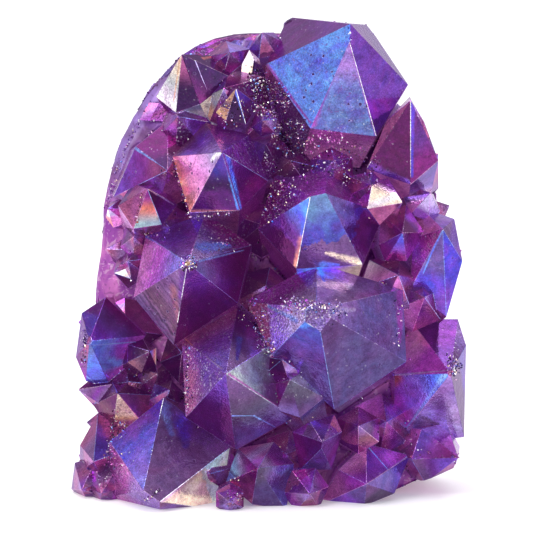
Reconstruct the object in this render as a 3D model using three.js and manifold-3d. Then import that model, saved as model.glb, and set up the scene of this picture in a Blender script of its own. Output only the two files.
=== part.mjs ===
// A free-standing aura quartz cluster: crystals grown together on a rounded wall of matrix, cut flat below.
// Millimetres, +Z up, front towards -Y, resting on the cut at z = 0.
//
// Crystals are drawn on a sheet that leans back by SHEET_LEAN: u runs right of the middle line, v up from
// the front of the base. A crystal is its tip, how far the tip stands in front of the middle plane, the
// lean of its axis (turn to the right, rise above level) and the six shoulders where ridges meet the
// prism, listed clockwise from the top. Ridges of quartz stand 42.3 degrees from the axis, which gives
// each shoulder its depth. A shoulder that is out of sight is null and follows from its neighbours.
import * as THREE from 'three';
import { mergeVertices } from 'three/addons/utils/BufferGeometryUtils.js';
import Module from 'manifold-3d';

const wasm = await Module();
wasm.setup();

const DEG = Math.PI / 180;
const SHEET_LEAN = 10 * DEG;
const BASE_DROP = 6;            // the sheet's origin lies this far below the cut, at the middle plane
const RIDGE = 42.3 * DEG;       // between a pyramid's ridge and the axis
const ROOT_TAPER = 0.72;        // a prism is slimmer where it leaves the matrix
const SIDES = 6;
const EVERY_SIDE = [0, 1, 2, 3, 4, 5];
const TURN = 360 / SIDES;
const UP = new THREE.Vector3(0, 0, 1);

// The large crystals, from the top down.
const LARGE = [
  { name: 'crown', tip: [20, 122], edge: 4.5, meets: [0, 0, 0, 1, 1, 0],
    front: 7, lean: [15, 46], length: 20,
    shoulders: [[4.5, 124], [24.5, 122], [34.5, 107], [26.5, 94], [10, 96], [-1, 112]] },
  { name: 'top_left', tip: [-22, 114.5], front: -1, lean: [-30, 50], length: 14,
    shoulders: [null, null, [-17.5, 102], [-23.5, 100], [-28.5, 104], null] },
  { name: 'top_dark', tip: [-10, 115], front: -4, lean: [0, 35], length: 16,
    shoulders: [[-11, 118], [-5, 116], [-7, 112], [-12, 108], [-17, 110], [-16.5, 114]] },
  { name: 'blade_left', tip: [-11.5, 106], front: 5, lean: [-20, 30], length: 16,
    shoulders: [null, null, null, [-15, 98], [-18.5, 103], null] },
  { name: 'blade_right', tip: [-8.5, 106], front: 6, lean: [0, 50], length: 16,
    shoulders: [null, [-3, 102], [-6, 97], [-11, 98], [-13.5, 100], null] },
  { name: 'right_shoulder', tip: [35, 103], front: 6, lean: [5, 48], length: 22,
    shoulders: [null, [38.5, 97.5], [42, 88], [35, 82], [24, 86], [29, 98]] },
  { name: 'left_upper', tip: [-25.5, 85.5], front: 12, lean: [10, 10], length: 16,
    shoulders: [[-25.5, 98], [-21.5, 92], null, null, [-39, 79], [-33.5, 91.5]] },
  { name: 'star', tip: [-12, 90], front: 21, lean: [0, 30], length: 28,
    shoulders: [[-16, 97.5], [-5, 94.5], [-0.5, 83], [-7.5, 75.5], [-20, 75], [-24.5, 89]] },
  { name: 'left_small', tip: [-30.5, 81], front: 13, lean: [0, 40], length: 16,
    shoulders: [null, [-23, 77], [-27, 72], [-34, 71], null, null] },
  { name: 'three_faced', tip: [10, 79], edge: 4, meets: [1, 1, 1, 0, 0, 0],
    front: 25, lean: [0, 30], length: 28,
    shoulders: [null, [28.5, 75], [23, 62], [6.5, 61], [-3, 71], [1, 84]] },
  { name: 'dark_right', tip: [33, 70], front: 16, lean: [10, 15], length: 14,
    shoulders: [[34, 77], null, [34, 63], [28.5, 63], [27, 67], null] },
  { name: 'right_edge', tip: [43, 71], front: 12, lean: [12, 30], length: 20,
    shoulders: [[46, 73.5], [48, 63], [44, 49], [35, 56], [35.5, 68.5], [37.5, 76.5]] },
  { name: 'gold_tip', tip: [-20.5, 62.5], front: 28, lean: [-5, 20], length: 28,
    blunt: { depth: 1, lean: [0, 30] },
    shoulders: [[-16, 75], [-4.5, 67], [-8, 52.5], [-24, 42], [-34, 54], [-31, 69.5]] },
  { name: 'heart', tip: [11.5, 51], front: 35, lean: [-5, 20], length: 30,
    blunt: { depth: 3.5, lean: [-5, 0] },
    shoulders: [[11.5, 62.5], [33, 56], [34, 38], [16, 26], [0.5, 39.5], [-6, 53]] },
  { name: 'left_edge', tip: [-45, 43], front: 12, lean: [-15, 5], length: 20,
    blunt: { depth: 1, lean: [-50, 10] },
    shoulders: [[-41, 54], [-31, 44.5], [-39.5, 31], [-46, 33], [-48.5, 39], [-47, 50]] },
  { name: 'breast', tip: [-11, 35], front: 34, lean: [-5, 15], length: 30,
    shoulders: [[-8, 52], [0, 42], [6, 24], [-8.5, 16], [-21, 24], [-22, 44]] },
  { name: 'crevice', tip: [3, 38.5], front: 25, lean: [-5, 25], length: 14,
    shoulders: [null, [8.5, 40], null, [5, 32], [-3.5, 33], [-0.5, 39]] },
  { name: 'under_heart', tip: [5, 33.5], front: 26, lean: [-10, 30], length: 14,
    shoulders: [null, [9, 36], [13.5, 29], [7.5, 24], null, null] },
  { name: 'right_lower', tip: [45, 35], front: 16, lean: [15, 15], length: 24,
    blunt: { depth: 1, lean: [40, 20] },
    shoulders: [[47, 48.5], [49, 42], [48.5, 19], [31, 17], [31, 34.5], [35, 48.5]] },
  { name: 'foot_left', tip: [-31.5, 6], edge: 5, meets: [0, 1, 1, 1, 0, 0],
    front: 31, lean: [-15, -5], length: 28,
    shoulders: [[-26.5, 29], [-10, 16.5], null, null, null, [-40, 18]] },
  { name: 'foot_far_left', tip: [-44, 13], front: 15, lean: [-25, 5], length: 18,
    shoulders: [[-43, 25], null, [-39, 4], null, null, [-47.5, 17]] },
  { name: 'foot_middle', tip: [-3, 11.5], front: 29, lean: [-5, 20], length: 20,
    shoulders: [[1, 18], [6, 12.5], [4, 1], [-4.5, 2.5], null, null] },
  { name: 'foot_small', tip: [13, 18], edge: 2, meets: [0, 0, 1, 1, 0, 0],
    front: 27, lean: [5, 5], length: 18,
    shoulders: [null, [18, 20.5], [15.5, 11], [7.5, 11], [5.5, 20.5], [10, 23]] },
  { name: 'foot_right', tip: [24, 7.5], front: 25, lean: [5, 5], length: 22,
    shoulders: [[24, 17.5], [35, 14.5], [31, 5], [23.5, 2], [12, 2], [17, 11]] },
];

// Smaller even crystals on the same sheet, in the gaps between the large ones.
const SMALL = [
  { name: 'right_nub', tip: [40, 80], front: 4, lean: [30, 40], spin: 0, girth: 5, length: 10 },
  { name: 'glint', tip: [33, 77.5], front: 15, lean: [45, 5], spin: 20, girth: 6, length: 10 },
  { name: 'blue_bead', tip: [-2, 98], front: 8, lean: [-10, 20], spin: 10, girth: 3.5, length: 8 },
  { name: 'top_grey', tip: [-2, 120], front: -8, lean: [-20, 50], spin: 10, girth: 4.5, length: 10 },
  { name: 'top_rim', tip: [-18.5, 115.5], front: -6, lean: [-10, 60], spin: 25, girth: 3.5, length: 8 },
  { name: 'rim_orange', tip: [-40.5, 76], front: -1, lean: [-40, 20], spin: 5, girth: 4, length: 8 },
  { name: 'rim_grey', tip: [-35.5, 63], front: 8, lean: [-30, 10], spin: 15, girth: 5.5, length: 10 },
  { name: 'rim_low', tip: [-39, 60], front: 3, lean: [-45, 0], spin: 0, girth: 4.5, length: 10 },
  { name: 'crevice_high', tip: [-30, 40.5], front: 8, lean: [25, 20], spin: 10, girth: 4.5, length: 8 },
  { name: 'crevice_low', tip: [-25, 31], front: 12, lean: [10, 30], spin: 20, girth: 4.5, length: 8 },
  { name: 'foot_edge', tip: [47, 14], front: 13, lean: [40, 0], spin: 25, girth: 8, length: 14 },
  { name: 'foot_pink', tip: [-6, 9], front: 24, lean: [0, 10], spin: 15, girth: 5, length: 12 },
  { name: 'foot_bead', tip: [-10, 3], front: 31, lean: [0, 0], spin: 0, girth: 4, length: 10 },
  { name: 'foot_between', tip: [10, 5], front: 27, lean: [10, 0], spin: 25, girth: 6, length: 12 },
  { name: 'under_right', tip: [22, 22], front: 20, lean: [0, 20], spin: 0, girth: 6, length: 12 },
  { name: 'foot_rim', tip: [-47, 6], front: 13, lean: [-25, -5], spin: 10, girth: 7, length: 14 },
  { name: 'foot_corner', tip: [-42, 5], front: 17, lean: [-15, -5], spin: 25, girth: 7, length: 14 },
  { name: 'valley_left', tip: [5, 88], front: 9, lean: [-10, 35], spin: 15, girth: 6, length: 10 },
  { name: 'valley_middle', tip: [16, 88], front: 10, lean: [5, 30], spin: 0, girth: 6, length: 10 },
  { name: 'valley_right', tip: [25, 82], front: 13, lean: [10, 30], spin: 20, girth: 6.5, length: 10 },
  { name: 'hollow_high', tip: [-2, 72], front: 8, lean: [0, 20], spin: 0, girth: 7, length: 12 },
  { name: 'hollow_low', tip: [-1, 57], front: 12, lean: [5, 25], spin: 15, girth: 7, length: 14 },
  { name: 'gap_right_high', tip: [38.5, 54], front: 11, lean: [15, 15], spin: 10, girth: 8, length: 14 },
  { name: 'gap_right', tip: [32, 59.5], front: 14, lean: [15, 25], spin: 25, girth: 8, length: 14 },
  { name: 'gap_foot_right', tip: [29, 23], front: 15, lean: [10, 15], spin: 5, girth: 8, length: 14 },
  { name: 'gap_foot_far', tip: [40, 15], front: 12, lean: [15, 0], spin: 0, girth: 8, length: 12 },
  { name: 'gap_left_low', tip: [-38, 30], front: 9, lean: [-15, 20], spin: 20, girth: 9, length: 14 },
  { name: 'gap_left', tip: [-28, 35], front: 7, lean: [10, 20], spin: 0, girth: 8, length: 12 },
  { name: 'gap_upper_left', tip: [-23, 99], front: 4, lean: [-15, 35], spin: 10, girth: 7, length: 12 },
  { name: 'gap_upper', tip: [-1, 92], front: 6, lean: [0, 35], spin: 20, girth: 7, length: 12 },
  { name: 'gap_middle_left', tip: [-27, 73], front: 9, lean: [-10, 25], spin: 0, girth: 7, length: 12 },
  { name: 'gap_foot', tip: [4, 15], front: 20, lean: [0, 10], spin: 10, girth: 6, length: 12 },
  { name: 'gap_foot_left', tip: [-15, 10], front: 22, lean: [0, 5], spin: 20, girth: 8, length: 14 },
  { name: 'gap_breast_left', tip: [-22, 40], front: 12, lean: [-10, 15], spin: 15, girth: 7, length: 12 },
  { name: 'under_small', tip: [-34, 69], front: 9, lean: [-15, 20], spin: 10, girth: 5, length: 10 },
];

// Crystals on the flanks and crest, out of sight from the front: tip [x, y, z].
const FLANKS = [
  { name: 'left_flank_high', at: [-41, 6, 60], lean: [-70, 15], spin: 10, girth: 6, length: 14 },
  { name: 'left_flank', at: [-48, 3, 42], lean: [-75, 10], spin: 25, girth: 9, length: 16 },
  { name: 'left_flank_mid', at: [-48, 2, 25], lean: [-80, 5], spin: 5, girth: 10, length: 16 },
  { name: 'left_flank_low', at: [-48, 3, 8], lean: [-70, 0], spin: 0, girth: 9, length: 14 },
  { name: 'left_back', at: [-46, 11, 33], lean: [-95, 10], spin: 15, girth: 7, length: 12 },
  { name: 'left_back_low', at: [-46, 11, 15], lean: [-100, 0], spin: 20, girth: 7, length: 12 },
  { name: 'right_flank_high', at: [42, 7, 84], lean: [60, 40], spin: 15, girth: 8, length: 16 },
  { name: 'right_flank', at: [48, 4, 60], lean: [75, 20], spin: 5, girth: 9, length: 16 },
  { name: 'right_flank_mid', at: [47.5, 12, 38], lean: [95, 5], spin: 20, girth: 8, length: 14 },
  { name: 'right_flank_lower', at: [48, 10, 18], lean: [85, 0], spin: 0, girth: 9, length: 14 },
  { name: 'right_flank_low', at: [45, 5, 12], lean: [70, 0], spin: 10, girth: 7, length: 14 },
  { name: 'right_back_high', at: [45, 12, 70], lean: [90, 25], spin: 10, girth: 7, length: 12 },
  { name: 'right_back', at: [46, 14, 54], lean: [100, 15], spin: 25, girth: 7, length: 12 },
  { name: 'crest_right', at: [24, 12, 108], lean: [60, 65], spin: 10, girth: 8, length: 18 },
  { name: 'crest_middle', at: [4, 9, 112], lean: [-40, 75], spin: 0, girth: 6, length: 14 },
  { name: 'crest_left', at: [-15, 8, 106], lean: [-60, 65], spin: 15, girth: 5, length: 12 },
];

// The matrix: half width against height. Its front lies back like the sheet; behind it the geode's round
// outer skin trims the matrix and every root that reaches it.
const MATRIX_PROFILE = [[42, -4], [43, 12], [43.5, 40], [44, 50], [42.5, 60], [42, 70], [40, 79], [37.5, 86],
  [33, 94], [28, 101], [22, 107], [13, 111], [5, 112]];
const MATRIX_SIDES = 36;
const MATRIX_FRONT = 0.2;       // bulge of the front, as a share of the half width
const MATRIX_LEAN = 0.19;       // how much the front falls back with height
const BREAK_START = 29;         // the break at the right foot starts here on the cut
const BREAK_RISE = 22;          // and climbs at this many degrees
const SKIN_CENTRE = [0, -38, 42];
const SKIN_RADII = [76, 70, 135];
const SKIN_SWELL = 0.011;       // height of the skin's slow lumps, as a share of the radii

// A point of the leaning sheet, in front of the middle plane by `front`.
function fromSheet([u, v], front) {
  const height = v / Math.cos(SHEET_LEAN) + front * Math.tan(SHEET_LEAN) - BASE_DROP;
  return new THREE.Vector3(u, -front, height);
}

// The outward direction of an axis turned to the right and raised above level, in degrees.
function axisOf([turn, rise]) {
  const flat = Math.cos(rise * DEG);
  return new THREE.Vector3(Math.sin(turn * DEG) * flat, -Math.cos(turn * DEG) * flat, Math.sin(rise * DEG));
}

// Two directions square to an axis: `above` climbs, `beside` points right for someone who faces the crystal.
function crossAxes(axis) {
  const above = UP.clone().addScaledVector(axis, -UP.dot(axis)).normalize();
  return { above, beside: new THREE.Vector3().crossVectors(above, axis) };
}

// A shoulder seen at [u, v]: slid along the line of sight until its ridge stands RIDGE from the axis.
function shoulderAt([u, v], tip, front, axis) {
  const sight = new THREE.Vector3(0, -Math.cos(SHEET_LEAN), Math.sin(SHEET_LEAN));
  const ridge = fromSheet([u, v], front).sub(tip);
  ridge.addScaledVector(sight, -ridge.dot(sight));
  const cone = Math.cos(RIDGE) ** 2;
  const along = sight.dot(axis);
  const across = ridge.dot(axis);
  const a = along ** 2 - cone;
  const b = 2 * across * along;
  const c = across ** 2 - cone * ridge.lengthSq();
  const root = Math.sqrt(Math.max(b * b - 4 * a * c, 0));
  const behind = [(-b + root) / (2 * a), (-b - root) / (2 * a)].filter((t) => across + t * along < 0);
  const slide = behind.length ? Math.max(...behind.filter((t) => t <= 0), Math.min(...behind)) : 0;
  return ridge.addScaledVector(sight, slide);
}

// A shoulder's bearing about the axis, clockwise from above in degrees, and its distance from the axis.
function polarOf(ridge, axis) {
  const { above, beside } = crossAxes(axis);
  const x = ridge.dot(beside);
  const y = ridge.dot(above);
  return { bearing: Math.atan2(x, y) / DEG, radius: Math.hypot(x, y) };
}

function ridgeAt({ bearing, radius }, axis) {
  const { above, beside } = crossAxes(axis);
  return above.clone().multiplyScalar(radius * Math.cos(bearing * DEG))
    .addScaledVector(beside, radius * Math.sin(bearing * DEG))
    .addScaledVector(axis, -radius / Math.tan(RIDGE));
}

// Six shoulders about the axis: those that are seen, and for the rest the even ones that go with them.
function sixShoulders(crystal, tip, axis) {
  const polar = (point) => polarOf(shoulderAt(point, tip, crystal.front, axis), axis);
  const seen = crystal.shoulders.map((point) => point && polar(point));
  let sine = 0;
  let cosine = 0;
  let girth = 0;
  let count = 0;
  seen.forEach((shoulder, i) => {
    if (!shoulder) return;
    sine += Math.sin((shoulder.bearing - TURN * i) * DEG);
    cosine += Math.cos((shoulder.bearing - TURN * i) * DEG);
    girth += shoulder.radius;
    count += 1;
  });
  const spin = Math.atan2(sine, cosine) / DEG;
  const even = (i) => ({ bearing: spin + TURN * i, radius: girth / count });
  return seen.map((shoulder, i) => ridgeAt(shoulder ?? even(i), axis));
}

// A pointed crystal as a closed mesh: six pyramid faces, six prism faces and a root. Where a crystal ends in
// a short edge, `second` is the edge's other end and `meets` says which end each ridge runs to.
function pointedSolid(tip, axis, ridges, length, second = tip, meets = EVERY_SIDE.map(() => 0)) {
  const ring = ridges.map((ridge) => tip.clone().add(ridge));
  const reach = Math.max(...ridges.map((ridge) => -ridge.dot(axis))) + length;
  const foot = ridges.map((ridge) => {
    const side = ridge.clone().addScaledVector(axis, -ridge.dot(axis)).multiplyScalar(ROOT_TAPER);
    return tip.clone().addScaledVector(axis, ROOT_TAPER * ridge.dot(axis) - reach).add(side);
  });
  const centre = tip.clone().addScaledVector(axis, -reach - 1);
  const corners = [tip, second, centre, ...ring, ...foot];
  const root = 2;
  const ringAt = (i) => 3 + (i % SIDES);
  const footAt = (i) => ringAt(i) + SIDES;
  const faces = EVERY_SIDE.flatMap((i) => {
    const end = meets[i];
    const next = meets[(i + 1) % SIDES];
    const pyramid = [[end, ringAt(i + 1), ringAt(i)]];
    if (end !== next) pyramid.push([end, next, ringAt(i + 1)]);
    const prism = [[ringAt(i), ringAt(i + 1), footAt(i + 1)], [ringAt(i), footAt(i + 1), footAt(i)]];
    return [...pyramid, ...prism, [root, footAt(i), footAt(i + 1)]];
  });
  return solidFrom(corners, faces);
}

function solidFrom(corners, faces) {
  const geometry = new THREE.BufferGeometry();
  geometry.setAttribute('position', new THREE.Float32BufferAttribute(corners.flatMap((p) => p.toArray()), 3));
  geometry.setIndex(faces.flat());
  return toSolid(geometry);
}

// three.js geometry to a manifold solid, its shared vertices merged.
function toSolid(geometry) {
  const bare = geometry.clone();
  bare.deleteAttribute('normal');
  bare.deleteAttribute('uv');
  const merged = mergeVertices(bare, 1e-4);
  return new wasm.Manifold(new wasm.Mesh({
    numProp: 3,
    vertProperties: new Float32Array(merged.attributes.position.array),
    triVerts: new Uint32Array(merged.index.array),
  }));
}

function toGeometry(solid) {
  const mesh = solid.getMesh();
  const geometry = new THREE.BufferGeometry();
  geometry.setAttribute('position', new THREE.BufferAttribute(mesh.vertProperties, 3));
  geometry.setIndex(new THREE.BufferAttribute(mesh.triVerts, 1));
  geometry.computeVertexNormals();
  return geometry;
}

function largeCrystal(crystal) {
  const tip = fromSheet(crystal.tip, crystal.front);
  const axis = axisOf(crystal.lean);
  const ridges = sixShoulders(crystal, tip, axis);
  const second = crystal.edge && edgeEnd(tip, ridges, crystal);
  const solid = pointedSolid(tip, axis, ridges, crystal.length, second, crystal.meets);
  return crystal.blunt ? solid.subtract(breakAway(tip, axis, crystal.blunt)) : solid;
}

// The other end of a tip's short edge, which runs where the two faces that share the edge cross.
function edgeEnd(tip, ridges, { edge, meets }) {
  const split = EVERY_SIDE.filter((i) => meets[i] !== meets[(i + 1) % SIDES]);
  const normals = split.map((i) => new THREE.Vector3().crossVectors(ridges[i], ridges[(i + 1) % SIDES]));
  const course = normals[0].cross(normals[1]).normalize();
  const towards = ridges.reduce((sum, ridge, i) => sum + course.dot(ridge) * (meets[i] ? 1 : -1), 0);
  return tip.clone().addScaledVector(course, edge * Math.sign(towards));
}

// What is missing from a broken tip: all that stands past a flat `depth` down the axis.
function breakAway(tip, axis, { depth, lean }) {
  const block = new THREE.BoxGeometry(60, 60, 60);
  block.translate(0, 0, 30);
  const turn = new THREE.Quaternion().setFromUnitVectors(UP, axisOf(lean));
  const place = tip.clone().addScaledVector(axis, -depth);
  block.applyMatrix4(new THREE.Matrix4().compose(place, turn, new THREE.Vector3(1, 1, 1)));
  return toSolid(block);
}

function evenCrystal(crystal) {
  const tip = crystal.at ? new THREE.Vector3(...crystal.at) : fromSheet(crystal.tip, crystal.front);
  const axis = axisOf(crystal.lean);
  const { spin, girth } = crystal;
  const ridges = EVERY_SIDE.map((i) => ridgeAt({ bearing: spin + TURN * i, radius: girth }, axis));
  return pointedSolid(tip, axis, ridges, crystal.length);
}

// The wall of matrix that the crystals grew from.
function matrixSolid() {
  const [, foot] = MATRIX_PROFILE[0];
  const [, top] = MATRIX_PROFILE.at(-1);
  const side = new THREE.SplineCurve(MATRIX_PROFILE.map(([x, z]) => new THREE.Vector2(x, z)));
  const profile = [new THREE.Vector2(0, foot), ...side.getPoints(22), new THREE.Vector2(0, top)];
  const geometry = new THREE.LatheGeometry(profile, MATRIX_SIDES);
  geometry.rotateX(Math.PI / 2);
  const place = geometry.attributes.position;
  for (let i = 0; i < place.count; i += 1) {
    const y = place.getY(i);
    place.setY(i, (y < 0 ? MATRIX_FRONT * y : y) + MATRIX_LEAN * place.getZ(i));
  }
  return toSolid(geometry);
}

// The round skin of the geode, with slow lumps.
function skinSolid() {
  const geometry = new THREE.SphereGeometry(1, 48, 32);
  geometry.rotateX(Math.PI / 2);
  const place = geometry.attributes.position;
  const point = new THREE.Vector3();
  for (let i = 0; i < place.count; i += 1) {
    point.fromBufferAttribute(place, i);
    const swell = Math.sin(9 * point.x + 4 * point.z) + Math.sin(11 * point.z - 6 * point.x);
    const lump = 1 + SKIN_SWELL * swell;
    const [x, y, z] = point.toArray().map((value, k) => value * lump * SKIN_RADII[k] + SKIN_CENTRE[k]);
    place.setXYZ(i, x, y, z);
  }
  return toSolid(geometry);
}

// The flat cut below, and the break that rises from it on the right.
function baseCut() {
  const block = new THREE.BoxGeometry(200, 200, 200);
  block.translate(0, 0, 100);
  const chip = new THREE.BoxGeometry(60, 200, 60);
  chip.translate(30, 0, -30);
  chip.rotateY(-BREAK_RISE * DEG);
  chip.translate(BREAK_START, 0, 0);
  return toSolid(block).subtract(toSolid(chip));
}

// The outer surface alone: pockets sealed between the roots are stone.
function filled(solid) {
  return solid.decompose().reduce((whole, piece) => (piece.volume() > whole.volume() ? piece : whole));
}

const solids = [matrixSolid(), ...LARGE.map(largeCrystal), ...[...SMALL, ...FLANKS].map(evenCrystal)];
const cluster = filled(wasm.Manifold.union(solids).intersect(skinSolid()).intersect(baseCut()));
const { min, max } = cluster.boundingBox();
const centred = cluster.translate([-(min[0] + max[0]) / 2, -(min[1] + max[1]) / 2, 0]);

const group = new THREE.Group();
const stone = new THREE.MeshStandardMaterial({ color: 0x6a3fa0, roughness: 0.15, metalness: 0.3 });
const mesh = new THREE.Mesh(toGeometry(centred), stone);
mesh.name = 'crystal_cluster';
group.add(mesh);

export default group;
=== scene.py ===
"""Looks of a free-standing aura quartz cluster: filmed crystals, druse, the geode's skin and a plain studio.

Metres, +Z up, crystals towards -Y. Places on the front are given on a sheet in millimetres that leans back
ten degrees: u runs right of the middle line and v up from the front of the base.
"""

import logging
import math
import random
from dataclasses import dataclass
from enum import Enum, IntEnum
from typing import Any, Callable, Union

import bpy
import numpy as np
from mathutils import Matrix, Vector, noise
from mathutils.bvhtree import BVHTree


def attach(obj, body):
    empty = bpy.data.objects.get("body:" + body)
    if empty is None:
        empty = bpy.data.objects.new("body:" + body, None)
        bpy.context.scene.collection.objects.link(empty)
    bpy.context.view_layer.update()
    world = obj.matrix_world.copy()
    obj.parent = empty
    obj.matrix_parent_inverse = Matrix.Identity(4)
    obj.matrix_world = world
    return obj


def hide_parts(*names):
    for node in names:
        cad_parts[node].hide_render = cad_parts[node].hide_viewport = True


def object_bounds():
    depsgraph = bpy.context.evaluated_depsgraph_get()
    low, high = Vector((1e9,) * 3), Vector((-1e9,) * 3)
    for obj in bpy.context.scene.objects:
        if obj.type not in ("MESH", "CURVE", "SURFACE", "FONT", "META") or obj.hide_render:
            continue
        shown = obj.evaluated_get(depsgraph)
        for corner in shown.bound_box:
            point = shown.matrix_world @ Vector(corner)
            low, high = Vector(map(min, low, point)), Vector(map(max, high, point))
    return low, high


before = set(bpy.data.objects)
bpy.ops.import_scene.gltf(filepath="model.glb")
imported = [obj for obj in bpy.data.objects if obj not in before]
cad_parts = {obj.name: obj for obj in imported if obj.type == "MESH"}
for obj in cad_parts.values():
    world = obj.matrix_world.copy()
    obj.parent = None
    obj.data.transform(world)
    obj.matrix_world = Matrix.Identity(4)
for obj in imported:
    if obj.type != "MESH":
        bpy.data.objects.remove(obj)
CAD_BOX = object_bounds()

LOG = logging.getLogger("aura_cluster")
BODY = "root"
NODE = "crystal_cluster"
MM = 0.001
QUARTZ_INDEX = 1.54
WALL_LEAN = 0.19

Triple = tuple[float, float, float]
Colour = Triple
Point = tuple[float, float]
Rings = list[tuple[int, ...]]
Course = tuple["Tint", "Tint", "Tint"]


class Tint(Enum):
    """The film's and the stone's own colours, and those of the painted highlights, reflections and shade
    laid on them, as they look on a screen: red, green and blue up to 255.
    """

    WHITE = (252, 248, 252)
    CREAM = (250, 226, 196)
    GOLD = (226, 180, 130)
    PEACH = (236, 146, 128)
    ORANGE = (200, 104, 78)
    BROWN = (112, 72, 78)
    BLUSH = (222, 178, 214)
    PINK = (196, 106, 184)
    ORCHID = (146, 58, 162)
    MAGENTA = (126, 32, 112)
    MAROON = (84, 18, 74)
    DEEP = (48, 14, 60)
    PLUM = (88, 28, 102)
    PURPLE = (104, 44, 136)
    VIOLET = (116, 66, 180)
    LILAC = (146, 112, 188)
    HAZE = (180, 162, 212)
    INDIGO = (70, 48, 148)
    COBALT = (76, 80, 210)
    BLUE = (74, 122, 236)
    SKY = (130, 170, 250)
    STEEL = (106, 118, 200)
    SLATE = (98, 82, 150)
    TEAL = (92, 130, 172)
    SAGE = (128, 144, 162)
    PALE = (186, 196, 190)
    MINT = (216, 236, 224)
    ROSE = (158, 80, 124)
    MAUVE = (112, 80, 128)
    DUSK = (84, 60, 104)
    ASH = (80, 76, 92)
    CANDY = (240, 150, 220)
    FUCHSIA = (186, 76, 200)
    IRIS = (140, 92, 232)
    PERI = (136, 120, 232)
    ULTRA = (76, 58, 196)
    DENIM = (84, 100, 170)
    AZURE = (96, 148, 252)
    ROYAL = (64, 68, 166)
    CLAY = (136, 84, 98)
    UMBER = (92, 62, 80)
    FOG = (76, 66, 112)
    PANSY = (168, 124, 250)
    GRAPE = (88, 48, 128)

    @property
    def linear(self) -> Colour:
        """The colour as linear light, from 0 to 1."""
        return tuple((part / 255) ** 2.2 for part in self.value)


@dataclass(frozen=True)
class Stroke:
    """A soft streak of another tint on a face, between two places of the sheet, so many millimetres wide:
    some are bands of the film's colour, many are painted highlights and painted reflections along ridges.
    """

    start: Point
    end: Point
    width: float
    tint: Tint


@dataclass(frozen=True)
class Facet:
    """How one flat face is coloured, from a start near its tip to an end near its foot, on the sheet."""

    name: str
    start: Point
    end: Point
    tints: Course
    jag: float = 0.0
    sparkle: float = 0.15
    pits: float = 0.1
    lines: float = 0.12
    # shine is a painted highlight: the face gives it off as glow.
    shine: float = 0.0
    strokes: tuple[Stroke, ...] = ()

    @property
    def middle(self) -> Point:
        """Halfway between the start and the end."""
        return (self.start[0] + self.end[0]) / 2, (self.start[1] + self.end[1]) / 2


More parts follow.
